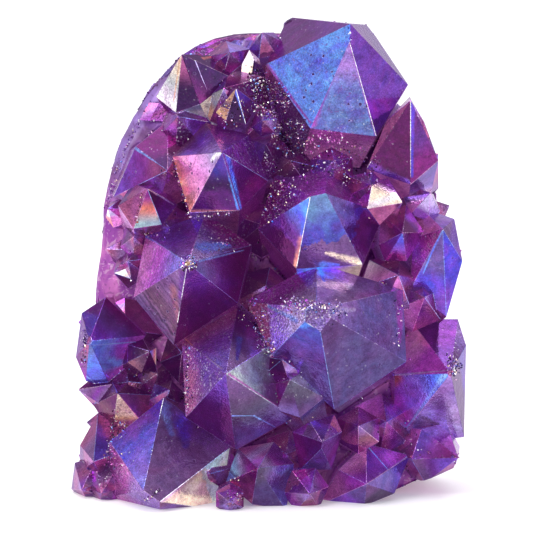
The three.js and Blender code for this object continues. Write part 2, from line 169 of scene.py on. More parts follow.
T = Tint
# The named faces' tints, read off the front: the film's colours together with painted reflections, painted
# highlights (the white, cream and sky tints and strokes, and shine) and painted shade (the dark tints of
# nooks and crevices).
FACETS: tuple[Facet, ...] = (
    Facet("crown_top", (16, 122.5), (1, 115.5), (T.PURPLE, T.PLUM, T.PLUM), sparkle=0.3),
    Facet("crown_blue", (17.5, 120), (5, 102), (T.AZURE, T.AZURE, T.AZURE),
          sparkle=0.45, pits=0.6, shine=0.12,
          strokes=(Stroke((-1, 112), (10, 97.5), 1.2, T.ORCHID),
                   Stroke((18, 122.5), (-1, 112.3), 1.2, T.VIOLET))),
    Facet("crown_steel", (20, 114), (18.5, 96), (T.LILAC, T.DENIM, T.DENIM),
          sparkle=0.4, pits=0.6, shine=0.05,
          strokes=(Stroke((10.4, 97.3), (19.5, 120.5), 1.8, T.ORCHID),
                   Stroke((20, 118), (26.5, 94), 1.2, T.ORCHID))),
    Facet("crown_right", (22, 117), (30, 99), (T.VIOLET, T.VIOLET, T.VIOLET), sparkle=0.2),
    Facet("crown_edge", (22, 121), (31, 113), (T.PURPLE, T.GRAPE, T.GRAPE)),
    Facet("crown_side", (-1, 110), (8, 97), (T.ROSE, T.PURPLE, T.MAUVE), sparkle=0.75),
    Facet("crown_under", (16, 93), (18, 88), (T.PINK, T.CANDY, T.CANDY), sparkle=0.5, shine=0.1),
    Facet("shoulder_left", (34, 99.5), (29, 87), (T.MAROON, T.MAROON, T.MAROON), jag=0.6,
          strokes=(Stroke((24.5, 86), (34.5, 82.5), 2.6, T.VIOLET),)),
    Facet("shoulder_upper", (33, 101), (26, 90.5), (T.ROSE, T.ROSE, T.ROSE), jag=0.6, shine=0.1),
    Facet("shoulder_under", (35, 82), (28, 82), (T.CANDY, T.PINK, T.CANDY), shine=0.15),
    Facet("shoulder_right", (35.5, 100), (39, 87), (T.PLUM, T.GRAPE, T.MAGENTA),
          strokes=(Stroke((35.2, 102), (35.4, 84), 1.3, T.ULTRA),)),
    Facet("shoulder_foot", (37, 82), (35, 79), (T.SLATE, T.LILAC, T.BLUSH)),
    Facet("shoulder_nub", (36, 79), (36, 77), (T.GRAPE, T.MAUVE, T.CANDY)),
    Facet("glint_face", (28.5, 80), (30, 76.5), (T.CREAM, T.WHITE, T.CREAM), shine=0.7),
    Facet("glint_low", (32, 76), (29, 75.5), (T.MAROON, T.ROSE, T.ROSE)),
    Facet("glint_high", (30, 81.5), (28.8, 79.8), (T.ORCHID, T.BLUSH, T.CREAM), shine=0.2),
    Facet("nub", (40, 78), (38, 75), (T.HAZE, T.HAZE, T.PURPLE)),
    Facet("nub_side", (41, 79), (40.2, 75.6), (T.HAZE, T.HAZE, T.LILAC), shine=0.25),
    Facet("top_left_gold", (-23, 112), (-25.5, 102.5), (T.CREAM, T.PALE, T.WHITE), sparkle=0.5, shine=0.35,
          strokes=(Stroke((-22.5, 113), (-24, 103), 0.9, T.GOLD),)),
    Facet("top_left_dark", (-20.5, 112), (-20, 100.5), (T.ROSE, T.DEEP, T.DEEP), jag=0.7,
          strokes=(Stroke((-20.8, 113), (-19.3, 108.5), 0.28, T.HAZE),)),
    Facet("top_dark_body", (-14, 112), (-19, 105), (T.DEEP, T.DEEP, T.MAROON),
          strokes=(Stroke((-19.4, 114.8), (-15.8, 105.8), 0.25, T.HAZE),)),
    Facet("top_dark_high", (-10, 116), (-8, 117.5), (T.PERI, T.LILAC, T.PERI)),
    Facet("top_band_right", (-5.2, 117.9), (-4.3, 117.6), (T.SLATE, T.PERI, T.LILAC)),
    Facet("top_band_left", (-8.6, 117.9), (-7.6, 117.5), (T.SLATE, T.PERI, T.LILAC)),
    Facet("top_band", (-7.5, 117.2), (-6.1, 116.8), (T.PERI, T.HAZE, T.LILAC)),
    Facet("top_dark_right", (-8.5, 114.5), (-6, 114), (T.ROSE, T.GRAPE, T.ROSE), sparkle=0.2),
    Facet("top_dark_low", (-10, 113), (-10, 109), (T.MAUVE, T.MAGENTA, T.MAGENTA)),
    Facet("top_dark_left", (-11.5, 113), (-16, 111), (T.DEEP, T.DEEP, T.DEEP),
          strokes=(Stroke((-16.7, 113.5), (-12, 114.5), 0.8, T.ORANGE),)),
    Facet("top_white", (-5.3, 113.3), (-4.7, 111.2), (T.WHITE, T.WHITE, T.CREAM), shine=1.6),
    Facet("top_white_side", (-2.7, 114), (-3.1, 111.5), (T.PURPLE, T.PLUM, T.GRAPE), sparkle=0.9),
    Facet("top_white_nose", (-4.95, 114.2), (-4.8, 113.3), (T.WHITE, T.WHITE, T.CREAM), shine=1.4),
    Facet("top_white_left", (-6, 114), (-6.4, 111.2), (T.WHITE, T.CREAM, T.WHITE), shine=1.4),
    Facet("top_grey", (-2, 119), (-3.6, 114), (T.DUSK, T.SLATE, T.VIOLET)),
    Facet("blade_gold", (-14, 104.5), (-16.5, 100), (T.GOLD, T.PALE, T.PALE), sparkle=0.5, shine=0.5),
    Facet("blade_under", (-17.8, 101.3), (-17, 99.3), (T.SAGE, T.PALE, T.PALE), shine=0.25),
    Facet("blade_grey", (-13.2, 105), (-14.6, 100), (T.PALE, T.SAGE, T.GOLD), sparkle=0.6, shine=0.3),
    Facet("blade_left", (-10, 104), (-12, 99.5), (T.GOLD, T.MAUVE, T.GOLD), jag=0.8),
    Facet("blade_blue", (-8, 104), (-7.5, 98.5), (T.DEEP, T.DEEP, T.DEEP), jag=0.6, sparkle=0.05,
          strokes=(Stroke((-8.6, 105.8), (-5.9, 97), 0.7, T.AZURE),)),
    Facet("blade_right", (-7, 104), (-5, 99.5), (T.INDIGO, T.MAROON, T.MAROON)),
    Facet("blade_speckled", (-2, 109), (-5, 101), (T.DEEP, T.MAROON, T.MAROON), sparkle=0.7),
    Facet("blade_crest", (-9, 110), (-6, 107), (T.BLUSH, T.ROSE, T.MAROON)),
    Facet("crown_nook", (-0.5, 90), (0, 85), (T.DEEP, T.MAROON, T.PLUM), sparkle=1.0),
    Facet("left_upper_face", (-26.5, 87), (-30, 97), (T.DEEP, T.MAROON, T.MAROON)),
    Facet("left_upper_right", (-24.5, 88), (-24, 95), (T.MAUVE, T.ROSE, T.MAGENTA)),
    Facet("left_upper_low", (-27, 85), (-37.5, 83), (T.ROSE, T.ORCHID, T.VIOLET), pits=1.0,
          strokes=(Stroke((-33.5, 91), (-26, 86), 0.5, T.SKY), Stroke((-27, 82.5), (-36, 80), 1.6, T.CLAY))),
    Facet("left_upper_foot", (-31, 78), (-36.5, 75), (T.ROSE, T.ROSE, T.ROSE)),
    Facet("left_upper_wedge", (-27.75, 101.75), (-26.25, 98.75), (T.PLUM, T.MAROON, T.PLUM), sparkle=0.2),
    Facet("left_upper_corner", (-31.5, 101), (-30.5, 98.5), (T.ROSE, T.MAUVE, T.PLUM), sparkle=0.2),
    Facet("left_upper_nook", (-22, 97), (-21.5, 92.5), (T.PLUM, T.DEEP, T.MAROON), sparkle=0.7),
    Facet("star_top_left", (-13.5, 91.5), (-20.5, 94), (T.LILAC, T.VIOLET, T.BROWN), sparkle=0.3),
    Facet("star_left", (-13.5, 89.5), (-22.5, 80), (T.HAZE, T.CANDY, T.PEACH),
          sparkle=0.06, pits=1.0, shine=0.45,
          strokes=(Stroke((-21, 75), (-22.5, 83), 2.0, T.GOLD),
                   Stroke((-12.3, 90.6), (-14.5, 88), 1.8, T.WHITE))),
    Facet("star_low", (-12.5, 88), (-13.5, 76), (T.INDIGO, T.DEEP, T.PLUM), jag=0.5,
          strokes=(Stroke((-19.5, 75), (-8, 75.2), 1.5, T.PEACH),
                   Stroke((-10.8, 89), (-8, 76), 1.2, T.BLUE))),
    Facet("star_right_low", (-11, 88), (-4, 78.5), (T.PURPLE, T.PLUM, T.MAGENTA), jag=0.4,
          strokes=(Stroke((-10.5, 89), (-7.2, 76), 1.1, T.BLUE),)),
    Facet("star_right", (-10.5, 90), (-3, 88.5), (T.ORCHID, T.ORCHID, T.PURPLE), sparkle=0.8),
    Facet("star_top", (-11.5, 91.5), (-10.5, 96), (T.VIOLET, T.ORCHID, T.PLUM), sparkle=0.5),
    Facet("star_foot", (-21, 74.6), (-7, 75), (T.LILAC, T.MAUVE, T.ROSE), sparkle=0.3, shine=0.05,
          strokes=(Stroke((-20, 75.7), (-9, 76), 0.9, T.CREAM),)),
    Facet("star_foot_right", (-4.5, 81), (-4, 73), (T.ORCHID, T.MAGENTA, T.MAGENTA)),
    Facet("small_left", (-31, 79.5), (-30.5, 72), (T.MAGENTA, T.ORANGE, T.SAGE), lines=0.05),
    Facet("small_right", (-29, 79.5), (-26, 75), (T.DEEP, T.MAROON, T.PURPLE),
          strokes=(Stroke((-30.5, 81.2), (-24, 77), 0.6, T.HAZE),)),
    Facet("small_crest", (-24.5, 84), (-23.5, 78), (T.ROSE, T.PINK, T.ROSE)),
    Facet("patch_spark", (-36.6, 60), (-36, 58.6), (T.WHITE, T.CREAM, T.WHITE), shine=0.8),
    Facet("patch_pink", (-39.9, 74.6), (-39.1, 73.2), (T.HAZE, T.PINK, T.PINK)),
    Facet("patch_orange", (-40.6, 74.6), (-40, 73.2), (T.WHITE, T.PEACH, T.ORANGE), shine=0.5),
    Facet("faced_left", (9, 76), (0, 67), (T.BLUE, T.PURPLE, T.MAROON), jag=0.6,
          strokes=(Stroke((10, 78), (8, 69), 2.6, T.BLUE), Stroke((8.5, 67.5), (6.5, 62), 2.6, T.PEACH))),
    Facet("faced_middle", (12, 78), (14, 64), (T.TEAL, T.ROYAL, T.MAUVE), jag=0.9,
          strokes=(Stroke((22.4, 62.6), (14, 65), 1.8, T.CREAM),
                   Stroke((13.2, 62.2), (17, 62), 1.5, T.AZURE))),
    Facet("faced_right", (16, 77), (25, 66), (T.SLATE, T.INDIGO, T.PLUM), jag=0.9),
    Facet("faced_top", (9, 79.5), (3, 82.5), (T.ORCHID, T.PURPLE, T.MAGENTA), sparkle=0.8),
    Facet("faced_top_right", (16, 79.5), (22, 79), (T.ORCHID, T.ORCHID, T.PURPLE), sparkle=0.4),
    Facet("faced_foot", (13, 61.3), (22, 61.3), (T.AZURE, T.PANSY, T.CREAM), shine=0.5),
    Facet("faced_high", (14, 82), (2, 82.5), (T.FUCHSIA, T.ORCHID, T.PURPLE), sparkle=0.7),
    Facet("faced_under", (6, 66), (-2, 60), (T.ROSE, T.MAGENTA, T.MAROON)),
    Facet("faced_nook", (-6, 71.5), (-5, 70), (T.PLUM, T.MAROON, T.PLUM), sparkle=0.6),
    Facet("nook_lilac", (25.5, 63), (29, 58), (T.WHITE, T.BLUSH, T.CANDY), shine=0.1),
    Facet("right_dark_top", (33.5, 72), (31, 75), (T.MAGENTA, T.ROSE, T.ROSE)),
    Facet("right_dark_left", (31.5, 69.5), (28.5, 66), (T.VIOLET, T.PURPLE, T.MAGENTA)),
    Facet("right_dark_side", (31, 72), (28, 69), (T.MAGENTA, T.ROSE, T.PINK)),
    Facet("right_dark_low", (32.5, 68), (31, 64), (T.COBALT, T.VIOLET, T.MAGENTA)),
    Facet("right_dark_right", (34, 69), (36, 67), (T.PLUM, T.ORCHID, T.ORCHID)),
    Facet("edge_far_left", (36, 73), (34.5, 71.5), (T.ORCHID, T.PURPLE, T.MAROON)),
    Facet("edge_upper_left", (41, 71.5), (37, 73), (T.CANDY, T.CANDY, T.CANDY)),
    Facet("edge_top", (43, 72.5), (42, 75), (T.VIOLET, T.LILAC, T.LILAC)),
    Facet("edge_right", (44.5, 71), (46, 68), (T.MAUVE, T.VIOLET, T.VIOLET)),
    Facet("edge_left", (41, 68), (36, 58), (T.MAGENTA, T.ORCHID, T.ORCHID), sparkle=0.4),
    Facet("edge_blue", (43, 68), (45.5, 51), (T.ULTRA, T.ULTRA, T.VIOLET),
          strokes=(Stroke((42.6, 70), (42.3, 50), 0.5, T.STEEL),)),
    Facet("edge_low", (41.5, 62), (37, 54), (T.SLATE, T.ULTRA, T.VIOLET),
          strokes=(Stroke((42.5, 70.5), (38.2, 60), 0.6, T.AZURE),
                   Stroke((35, 52.5), (40, 54.5), 2.2, T.PEACH))),
    Facet("edge_foot", (36, 52), (41, 47), (T.PURPLE, T.ROSE, T.ROSE)),
    Facet("edge_nook", (33, 50), (37, 49), (T.CANDY, T.CANDY, T.PINK), shine=0.05),
    Facet("gold_break", (-21.5, 62.6), (-19.3, 61.8), (T.BROWN, T.GOLD, T.CREAM), sparkle=1.0),
    Facet("gold_top_left", (-21, 65), (-24, 72), (T.LILAC, T.VIOLET, T.VIOLET), sparkle=0.4),
    Facet("gold_left", (-23, 62.5), (-32, 64), (T.PERI, T.FUCHSIA, T.PINK), sparkle=0.5, lines=0.25,
          strokes=(Stroke((-20.5, 64.7), (-32.5, 70), 1.7, T.BLUE),)),
    Facet("gold_low_left", (-23.5, 57), (-33, 50), (T.MAUVE, T.UMBER, T.DUSK), jag=0.2, lines=0.9, pits=0.6,
          strokes=(Stroke((-21, 62), (-22.5, 54), 2.4, T.GRAPE),
                   Stroke((-24, 56), (-22.8, 48), 2.2, T.CLAY))),
    Facet("gold_low", (-20, 59), (-17, 48), (T.PURPLE, T.MAROON, T.MAROON)),
    Facet("gold_right", (-17.5, 61.5), (-7.5, 58), (T.SLATE, T.PURPLE, T.MAROON),
          strokes=(Stroke((-17.5, 63), (-6.5, 65.7), 0.5, T.SKY),)),
    Facet("gold_top_right", (-18, 64.5), (-9.5, 71), (T.HAZE, T.SLATE, T.MAGENTA), sparkle=0.75, shine=0.1,
          strokes=(Stroke((-17, 66.5), (-10.5, 67), 3.2, T.AZURE),
                   Stroke((-17.8, 63), (-6.5, 65.8), 0.7, T.SKY))),
    Facet("gold_foot", (-30, 51), (-36, 47), (T.ROSE, T.ROSE, T.MAGENTA)),
    Facet("heart_break", (11.5, 53), (14, 47), (T.SLATE, T.MAUVE, T.LILAC), sparkle=0.9),
    Facet("heart_top_left", (8, 53), (2, 58), (T.HAZE, T.ORCHID, T.FUCHSIA), sparkle=0.8),
    Facet("heart_top_right", (14, 53.5), (22.5, 59.5), (T.HAZE, T.HAZE, T.LILAC), sparkle=0.15,
          strokes=(Stroke((12.4, 61), (13.4, 58), 1.5, T.AZURE),
                   Stroke((13.5, 60.9), (18.5, 60.4), 1.3, T.PANSY))),
    Facet("heart_right", (17, 49), (30, 46), (T.LILAC, T.SLATE, T.SLATE), sparkle=0.25,
          strokes=(Stroke((32.3, 55), (32.3, 43), 2.4, T.ORCHID),
                   Stroke((15.4, 50.4), (21, 51), 2.0, T.HAZE))),
    Facet("heart_low_right", (15, 46), (24, 32), (T.DUSK, T.FOG, T.FOG), lines=0.15),
    Facet("heart_low_left", (10, 46), (7, 34), (T.ROYAL, T.GRAPE, T.SLATE),
          strokes=(Stroke((6.5, 47), (11.5, 47), 1.6, T.BLUE),)),
    Facet("heart_left", (7, 48.5), (-3, 46.5), (T.HAZE, T.PANSY, T.ROSE), jag=0.3, sparkle=1.0, shine=0.25,
          strokes=(Stroke((-6.5, 53), (-3, 47), 1.1, T.BROWN),
                   Stroke((6.5, 48.2), (-0.5, 51.8), 1.3, T.SKY))),
    Facet("heart_under", (31, 36), (18, 27), (T.PURPLE, T.LILAC, T.HAZE)),
    Facet("heart_foot", (22, 28), (30, 25), (T.CANDY, T.PINK, T.ROSE)),
    Facet("breast_top_right", (-9, 38), (-3.5, 46), (T.HAZE, T.SLATE, T.PLUM),
          strokes=(Stroke((-7.6, 43.8), (-8.2, 38.5), 1.3, T.COBALT),)),
    Facet("breast_top_left", (-12.5, 38), (-18, 45.5), (T.PERI, T.VIOLET, T.ROSE), sparkle=0.6, shine=0.05,
          strokes=(Stroke((-21.5, 42.3), (-12, 36.2), 1.5, T.HAZE),
                   Stroke((-22, 43.5), (-19.5, 42), 1.4, T.PEACH))),
    Facet("breast_left", (-12.5, 34.5), (-20.5, 33), (T.GRAPE, T.GRAPE, T.ROSE), sparkle=0.75),
    Facet("breast_right", (-9, 36), (2, 29), (T.MINT, T.SAGE, T.DUSK), jag=0.3, shine=0.3,
          strokes=(Stroke((-10, 34.6), (4, 25), 1.1, T.PINK),)),
    Facet("breast_low_right", (-10, 32), (-2, 19), (T.MAUVE, T.ASH, T.SLATE), lines=0.15,
          strokes=(Stroke((-10.5, 24.5), (-4, 24.5), 0.4, T.SKY),
                   Stroke((-4, 24.5), (3, 20.7), 0.4, T.SKY))),
    Facet("breast_low_left", (-12.5, 31), (-14, 22), (T.VIOLET, T.PLUM, T.PLUM)),
    Facet("breast_side", (4, 31), (5.5, 25), (T.ASH, T.DUSK, T.SLATE)),
    Facet("crevice_left", (1, 38), (-1, 36), (T.DEEP, T.MAROON, T.DEEP)),
    Facet("crevice_low", (3, 36), (3, 33.5), (T.DEEP, T.MAROON, T.PLUM)),
    Facet("crevice_far_left", (-25, 38), (-23.5, 35.5), (T.DEEP, T.MAROON, T.DEEP)),
    Facet("purse", (-30, 41), (-27.8, 37.6), (T.BLUE, T.ORANGE, T.WHITE), shine=0.5),
    Facet("under_heart_low", (6, 31.5), (9, 26), (T.ASH, T.ASH, T.DUSK)),
    Facet("under_heart_right", (8, 33), (12, 30), (T.PALE, T.SAGE, T.SAGE)),
    Facet("under_heart_side", (11, 26.5), (11.5, 24), (T.STEEL, T.HAZE, T.HAZE)),
    Facet("left_edge_top", (-43, 45), (-37, 51), (T.VIOLET, T.SLATE, T.MAGENTA)),
    Facet("left_edge_right", (-42, 42), (-34, 41), (T.AZURE, T.IRIS, T.FUCHSIA), shine=0.25,
          strokes=(Stroke((-42, 37), (-37.5, 37.5), 4.5, T.AZURE),
                   Stroke((-44, 42), (-31, 43), 0.4, T.SKY))),
    Facet("left_edge_low", (-44.5, 41), (-41, 33), (T.DENIM, T.BLUE, T.COBALT),
          strokes=(Stroke((-46.8, 35), (-43.2, 32), 0.6, T.SKY),)),
    Facet("left_edge_break", (-46, 43), (-46.5, 41), (T.GRAPE, T.GRAPE, T.GRAPE), sparkle=0.5),
    Facet("left_edge_side", (-43, 50.5), (-45.5, 47.5), (T.PLUM, T.INDIGO, T.INDIGO), sparkle=0.3),
    Facet("lower_break", (45.5, 40), (48.5, 44), (T.MAUVE, T.LILAC, T.LILAC), sparkle=0.6),
    Facet("lower_top", (44, 39), (41, 47), (T.GRAPE, T.PURPLE, T.PURPLE)),
    Facet("lower_left", (42.5, 37), (35, 42), (T.FUCHSIA, T.FUCHSIA, T.CANDY), shine=0.1,
          strokes=(Stroke((31, 34.5), (44, 35.7), 0.6, T.HAZE),)),
    Facet("lower_low_left", (42, 33), (29, 28), (T.BLUE, T.PANSY, T.FUCHSIA), jag=0.3, lines=0.15,
          strokes=(Stroke((44, 35.5), (32, 18), 1.0, T.SKY), Stroke((31, 34), (26, 28.5), 3.4, T.ORANGE))),
    Facet("lower_low", (45, 31), (40, 18), (T.LILAC, T.HAZE, T.LILAC), lines=0.2),
    Facet("lower_right", (47, 36), (48.5, 40), (T.DEEP, T.INDIGO, T.INDIGO)),
    Facet("lower_foot", (38, 18), (45, 14.5), (T.VIOLET, T.ORCHID, T.MAGENTA)),
    Facet("lower_foot_right", (42, 20.5), (44.5, 17), (T.LILAC, T.PURPLE, T.PLUM)),
    Facet("foot_left_face", (-34, 25), (-31, 9), (T.PURPLE, T.COBALT, T.PERI), sparkle=0.35),
    Facet("foot_left_middle", (-26, 29), (-19, 12), (T.DUSK, T.DUSK, T.MAUVE), lines=0.15,
          strokes=(Stroke((-26.5, 27), (-24.5, 20), 3.0, T.DENIM),
                   Stroke((-22, 23), (-21, 17), 3.6, T.INDIGO))),
    Facet("foot_left_gold", (-26, 2.5), (-12, 13), (T.CREAM, T.CREAM, T.MINT), jag=0.7, shine=0.35,
          strokes=(Stroke((-27, 3), (-11, 17), 1.0, T.BLUSH), Stroke((-22, 2), (-13, 2.5), 2.6, T.CREAM))),
    Facet("foot_left_pink", (-33, 5), (-39, 13), (T.LILAC, T.PINK, T.PINK), sparkle=0.8),
    Facet("foot_left_crest", (-38.6, 25), (-38.4, 22.5), (T.CREAM, T.GOLD, T.ROSE), sparkle=0.6, shine=0.4),
    Facet("foot_left_nook", (-31, 29), (-37, 27), (T.ROSE, T.MAUVE, T.MAUVE)),
    Facet("foot_left_under", (-29, 4), (-37, 3), (T.LILAC, T.LILAC, T.PINK), sparkle=0.8),
    Facet("far_left_top", (-45, 16), (-45.5, 22), (T.MAUVE, T.ROSE, T.ROSE), jag=0.4),
    Facet("far_left_right", (-43, 15), (-41.5, 21), (T.DUSK, T.DUSK, T.ROSE)),
    Facet("far_left_low", (-43, 11), (-40.5, 6), (T.MAUVE, T.MAUVE, T.ROSE), sparkle=0.9),
    Facet("far_left_crest", (-39, 28), (-43, 24), (T.MAROON, T.BROWN, T.MAROON)),
    Facet("far_left_high", (-44.5, 31.5), (-41.5, 29), (T.MAUVE, T.PURPLE, T.MAUVE)),
    Facet("middle_right", (-2, 11), (4.5, 6), (T.ASH, T.SLATE, T.DENIM)),
    Facet("middle_low", (-3, 9.5), (-1, 3), (T.ASH, T.FOG, T.FOG)),
    Facet("middle_top", (-1.5, 13), (2, 15.5), (T.HAZE, T.ORCHID, T.PURPLE)),
    Facet("middle_left", (-3.5, 10.5), (-5, 8), (T.MAGENTA, T.MAGENTA, T.ROSE)),
    Facet("middle_far_left", (-5, 14), (-9.5, 10), (T.MAGENTA, T.MAUVE, T.TEAL)),
    Facet("middle_crest", (-1, 14.5), (-6, 16), (T.PINK, T.HAZE, T.ROSE)),
    Facet("foot_small_left", (12, 16), (9, 14), (T.PLUM, T.PLUM, T.MAGENTA)),
    Facet("foot_small_low", (13, 15), (14, 12), (T.SLATE, T.SLATE, T.SLATE)),
    Facet("foot_small_right", (14, 17), (17, 14), (T.SLATE, T.PLUM, T.PURPLE), jag=0.7),
    Facet("foot_right_top", (22.5, 9.5), (20, 13), (T.ORCHID, T.PINK, T.CANDY)),
    Facet("foot_right_high", (26, 9.5), (30, 13.5), (T.PURPLE, T.PURPLE, T.ORCHID),
          strokes=(Stroke((29.7, 10.7), (34.7, 14.5), 0.6, T.SKY),
                   Stroke((23.7, 17.5), (29.7, 10.7), 0.4, T.SKY))),
    Facet("foot_right_side", (27, 7.5), (32, 8.5), (T.SLATE, T.SLATE, T.INDIGO)),
    Facet("foot_right_low", (25, 5.5), (27, 3.5), (T.MAUVE, T.ASH, T.ASH)),
    Facet("foot_right_under", (21, 5), (18, 3), (T.SLATE, T.VIOLET, T.VIOLET)),
    Facet("foot_right_left", (21, 9), (14.5, 5), (T.FUCHSIA, T.PINK, T.PINK)),
    Facet("foot_edge_face", (43, 12.5), (37, 11), (T.VIOLET, T.PURPLE, T.MAUVE)),
    Facet("foot_nook", (33, 19.5), (28, 17), (T.SLATE, T.ORCHID, T.ROSE)),
)

# Round patches of druse on the front: middle, radius in millimetres and how many crystals.
DRUSE_PATCHES: tuple[tuple[Point, float, int], ...] = (
    ((0, 103), 5, 520), ((5, 94), 4.5, 420), ((-3, 108), 3, 200), ((14, 90), 6, 300), ((22, 87), 5, 200),
    ((6, 84), 4, 80), ((2.5, 79.5), 3.8, 170), ((0.5, 75), 2.5, 60), ((-9, 100), 4, 120), ((-4, 50), 4, 120),
    ((-1, 42), 2.5, 100), ((-38, 21), 2.5, 60), ((-39, 14), 3, 70), ((46, 36.5), 2, 90),
    ((-20.3, 62.4), 2.2, 170), ((46.5, 14), 1.6, 40), ((-8.5, 3.5), 2.5, 70), ((-21, 30), 2, 40),
    ((36, 15.5), 2, 30),
)

# Edges that glitter: start, end, spread to both sides in millimetres and how many crystals.
DRUSE_LINES: tuple[tuple[Point, Point, float, int], ...] = (
    ((-32.5, 98), (-35, 93.5), 0.25, 36), ((-35, 93.5), (-38, 87), 0.25, 44),
    ((-38, 87), (-40, 80.3), 0.3, 44), ((-40, 80.3), (-41.3, 76), 0.3, 30),
    ((-24.2, 88.2), (-20.2, 73.8), 0.3, 130), ((-31.8, 80), (-33.5, 72), 0.3, 60),
    ((-20.2, 73.8), (-10, 75), 0.4, 60), ((19.6, 121.5), (20, 117.5), 0.2, 36),
    ((4, 52.3), (18.5, 50.3), 1.0, 380), ((-46, 47), (-46.5, 37), 0.35, 90),
    ((-38.5, 25), (-40.5, 14), 0.4, 90), ((-20.5, 42), (-20.7, 26), 0.4, 90),
    ((-27.5, 6), (-31.5, 3.2), 0.4, 60), ((-4.2, 48), (0.6, 39.5), 0.5, 90),
    ((-14, 66.5), (-9, 68), 1.0, 40), ((31.5, 54), (31.8, 42), 0.7, 50), ((44.5, 40), (46, 34), 0.4, 60),
    ((-26, 68), (-31, 70), 0.3, 24),
)

# Colour courses for all other faces: lit ones, painted lighter for faces turned up or to the left; shaded
# ones, painted darker for the rest; those of outer crystals; and the darkest, as painted shade, for those in
# hollows.
LIT_COURSES: tuple[Course, ...] = (
    (T.SLATE, T.VIOLET, T.PURPLE), (T.VIOLET, T.ORCHID, T.MAGENTA), (T.LILAC, T.MAUVE, T.ORCHID),
    (T.ROSE, T.ORCHID, T.MAGENTA), (T.MAUVE, T.PURPLE, T.ROSE), (T.PURPLE, T.ROSE, T.MAGENTA),
)
SHADED_COURSES: tuple[Course, ...] = (
    (T.MAUVE, T.ROSE, T.PLUM), (T.ROSE, T.MAUVE, T.MAGENTA), (T.LILAC, T.ROSE, T.MAROON),
    (T.LILAC, T.CLAY, T.ROSE), (T.CLAY, T.LILAC, T.MAUVE),
)
OUTER_COURSES: tuple[Course, ...] = (
    (T.ROSE, T.MAUVE, T.ORCHID), (T.PINK, T.ROSE, T.MAUVE), (T.LILAC, T.ROSE, T.MAUVE),
    (T.VIOLET, T.ROSE, T.MAUVE),
)
HOLLOW_SHADE_COURSES: tuple[Course, ...] = (
    (T.UMBER, T.MAROON, T.DEEP), (T.CLAY, T.UMBER, T.MAROON), (T.MAROON, T.DEEP, T.UMBER),
)

# Deep hollows between the crystals, where faces take the darkest courses as painted shade: middle and radius
# in millimetres.
SHADED_HOLLOWS: tuple[tuple[Point, float], ...] = (
    ((-30, 38), 8.5), ((-38, 29), 5), ((-24, 30), 3), ((-4.5, 68), 4.5), ((6, 87), 5), ((8, 26), 4),
    ((-3.6, 59.5), 3.5), ((-9.5, 118.6), 4.2),
)


class Sheet:
    """The leaning sheet on which places on the front are given, and the way one looks at it."""

    LEAN = math.radians(10)
    ORIGIN = Vector((0.32, 0.68, -6.0)) * MM
    RIGHT = Vector((1, 0, 0))
    UP = Vector((0, math.sin(LEAN), math.cos(LEAN)))
    SIGHT = Vector((0, math.cos(LEAN), -math.sin(LEAN)))

    def point(self, place: Point) -> Vector:
        """A point of the sheet, in the object's frame."""
        return self.ORIGIN + self.RIGHT * place[0] * MM + self.UP * place[1] * MM

    def place(self, point: Vector) -> Point:
        """The place of the sheet over which a point of the part lies."""
        away = point - self.ORIGIN
        return away.dot(self.RIGHT) / MM, away.dot(self.UP) / MM

    def ray(self, place: Point) -> tuple[Vector, Vector]:
        """A start well in front of the object and the direction of sight through a place."""
        return self.point(place) - self.SIGHT, self.SIGHT

    def on_plane(self, place: Point, spot: Vector, normal: Vector) -> Vector:
        """Where the line of sight through a place meets the plane of a face."""
        origin, sight = self.ray(place)
        return origin + sight * ((spot - origin).dot(normal) / sight.dot(normal))


@dataclass(frozen=True)
class Clouds:
    """Cloudy noise: the size of its features in metres, its finer layers, its warp and how rough it is."""

    size: float
    detail: float = 2.0
    warp: float = 0.0
    rough: float = 0.5


@dataclass(frozen=True)
class Wash:
    """A tint that lies over a colour where a mask goes from one value to another, as strongly as said."""

    tint: Union[Tint, Colour]
    start: float
    end: float
    strength: float = 1.0
    mode: str = "MIX"


@dataclass(frozen=True)
class Wire:
    """A socket of a material, with which sums are written as Python expressions."""

    board: "Board"
    socket: bpy.types.NodeSocket

    def _sum(self, operation: str, *others: Any) -> "Wire":
        """One Math node over this socket and others.

        Args:
            operation: The Math node's operation.
            others: The further sockets or numbers.

        Returns:
            The node's result.
        """
        return self.board.node("ShaderNodeMath", {"operation": operation}, dict(enumerate((self, *others))))

    def __add__(self, other: Any) -> "Wire":
        """This plus the other."""
        return self._sum("ADD", other)

    def __sub__(self, other: Any) -> "Wire":
        """This minus the other."""
        return self._sum("SUBTRACT", other)

    def __rsub__(self, other: float) -> "Wire":
        """The other minus this."""
        return self.board.node("ShaderNodeMath", {"operation": "SUBTRACT"}, {0: other, 1: self})

    def __mul__(self, other: Any) -> "Wire":
        """This times the other."""
        return self._sum("MULTIPLY", other)

    def __truediv__(self, other: Any) -> "Wire":
        """This divided by the other."""
        return self._sum("DIVIDE", other)

    __radd__ = __add__
    __rmul__ = __mul__

    def between(self, low: Any, high: Any) -> "Wire":
        """From 0 at low to 1 at high, smooth between and level beyond. Low may be the larger one."""
        return self.board.node("ShaderNodeMapRange", {"interpolation_type": "SMOOTHSTEP"},
                               {"Value": self, "From Min": low, "From Max": high})

    def most(self, other: Any) -> "Wire":
        """The larger of this and the other."""
        return self._sum("MAXIMUM", other)

    def clamped(self) -> "Wire":
        """This kept from 0 to 1."""
        return self.board.node("ShaderNodeClamp", {}, {"Value": self})


